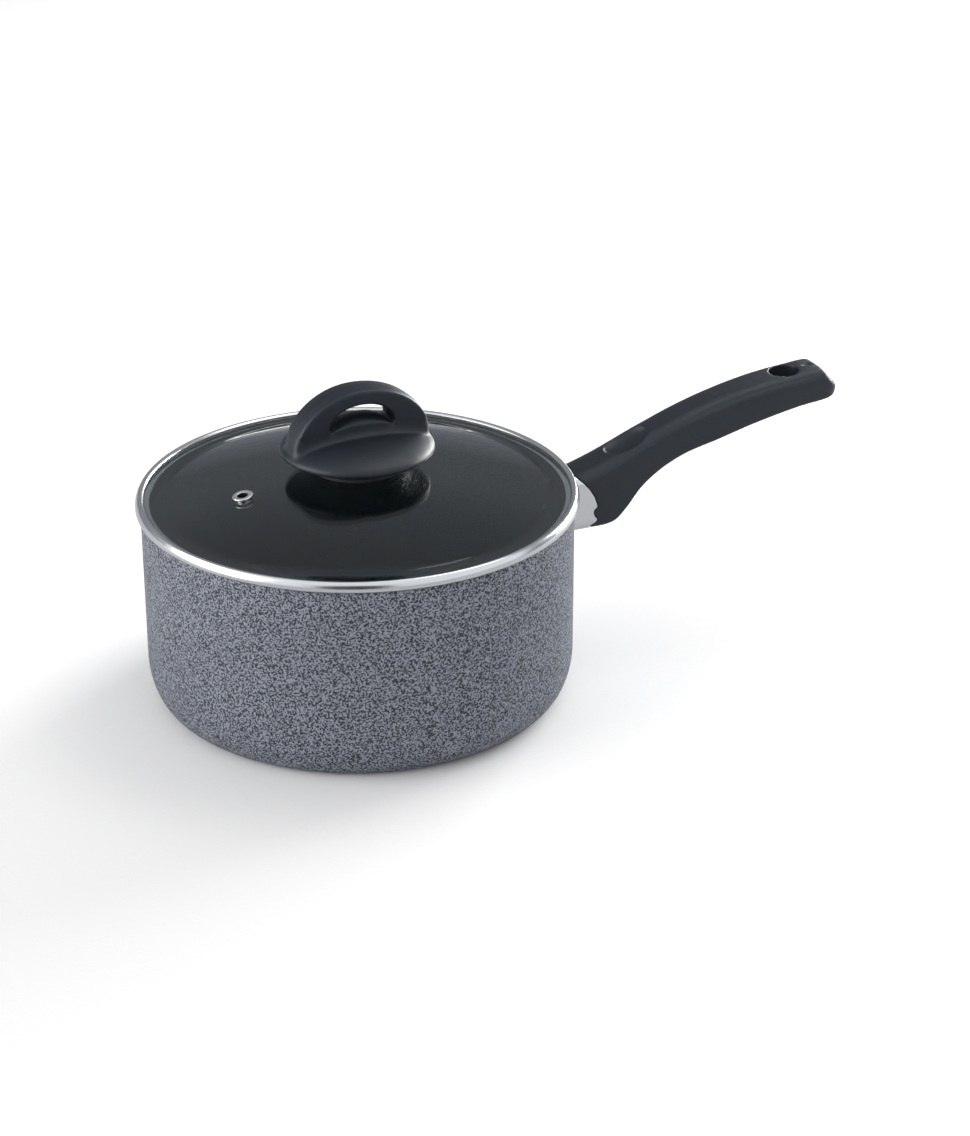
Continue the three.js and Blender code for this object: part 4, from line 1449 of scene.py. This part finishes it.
class SAUCEPAN_OT_stage(bpy.types.Operator):
    """Set up the floor, the lights and the camera"""

    bl_idname = "saucepan.stage"
    bl_label = "Stage"

    def execute(self, context):
        stage = context.scene.saucepan_stage
        turn = Matrix.Rotation(stage.azimuth, 3, "Z")
        self.floor()
        middle = (CAD_BOX[0] + CAD_BOX[1]) / 2
        for name, place, size, power in LAMPS:
            area_light(name, turn @ Vector(place), middle, size, power)
        studio_world(turn)
        data = bpy.data.cameras.new("camera")
        data.lens = stage.lens
        data.sensor_width = 36
        camera = placed("camera", data)
        camera.location = turn @ Vector((stage.side, -stage.back, stage.height))
        camera.rotation_euler = (math.pi / 2 - stage.pitch, 0, stage.azimuth)
        context.scene.camera = camera
        context.scene.view_settings.view_transform = "Standard"
        return {"FINISHED"}

    def floor(self):
        mesh = bpy.data.meshes.new("floor")
        reach, below = 6.0, -0.3 * MM
        corners = [(-reach, -reach), (reach, -reach), (reach, reach), (-reach, reach)]
        mesh.from_pydata([(x, y, below) for x, y in corners], [], [(0, 1, 2, 3)])
        paint(placed("floor", mesh), floor_material())


# ---- panel and registration

OPERATORS = (
    SAUCEPAN_OT_pan,
    SAUCEPAN_OT_mounting,
    SAUCEPAN_OT_handle,
    SAUCEPAN_OT_rim,
    SAUCEPAN_OT_glass,
    SAUCEPAN_OT_vent,
    SAUCEPAN_OT_knob,
    SAUCEPAN_OT_stem,
    SAUCEPAN_OT_stage,
)
SETTINGS = {
    "saucepan_pan": PanSettings,
    "saucepan_handle": HandleSettings,
    "saucepan_lid": LidSettings,
    "saucepan_finish": FinishSettings,
    "saucepan_stage": StageSettings,
}


class SAUCEPAN_PT_panel(bpy.types.Panel):
    """Lists the saucepan's pieces and its settings"""

    bl_idname = "SAUCEPAN_PT_panel"
    bl_label = "Saucepan"
    bl_space_type = "VIEW_3D"
    bl_region_type = "UI"
    bl_category = "Saucepan"

    def draw(self, context):
        for operator in OPERATORS:
            self.layout.operator(operator.bl_idname)
        for attribute, group in SETTINGS.items():
            box = self.layout.box()
            settings = getattr(context.scene, attribute)
            for name in group.__annotations__:
                box.prop(settings, name)


def register():
    for group in SETTINGS.values():
        bpy.utils.register_class(group)
    for attribute, group in SETTINGS.items():
        setattr(bpy.types.Scene, attribute, PointerProperty(type=group))
    for operator in OPERATORS:
        bpy.utils.register_class(operator)
    bpy.utils.register_class(SAUCEPAN_PT_panel)


def unregister():
    bpy.utils.unregister_class(SAUCEPAN_PT_panel)
    for operator in reversed(OPERATORS):
        bpy.utils.unregister_class(operator)
    for attribute, group in SETTINGS.items():
        delattr(bpy.types.Scene, attribute)
        bpy.utils.unregister_class(group)


def main():
    register()
    for operator in OPERATORS:
        category, name = operator.bl_idname.split(".")
        getattr(getattr(bpy.ops, category), name)()


if __name__ == "__main__":
    main()
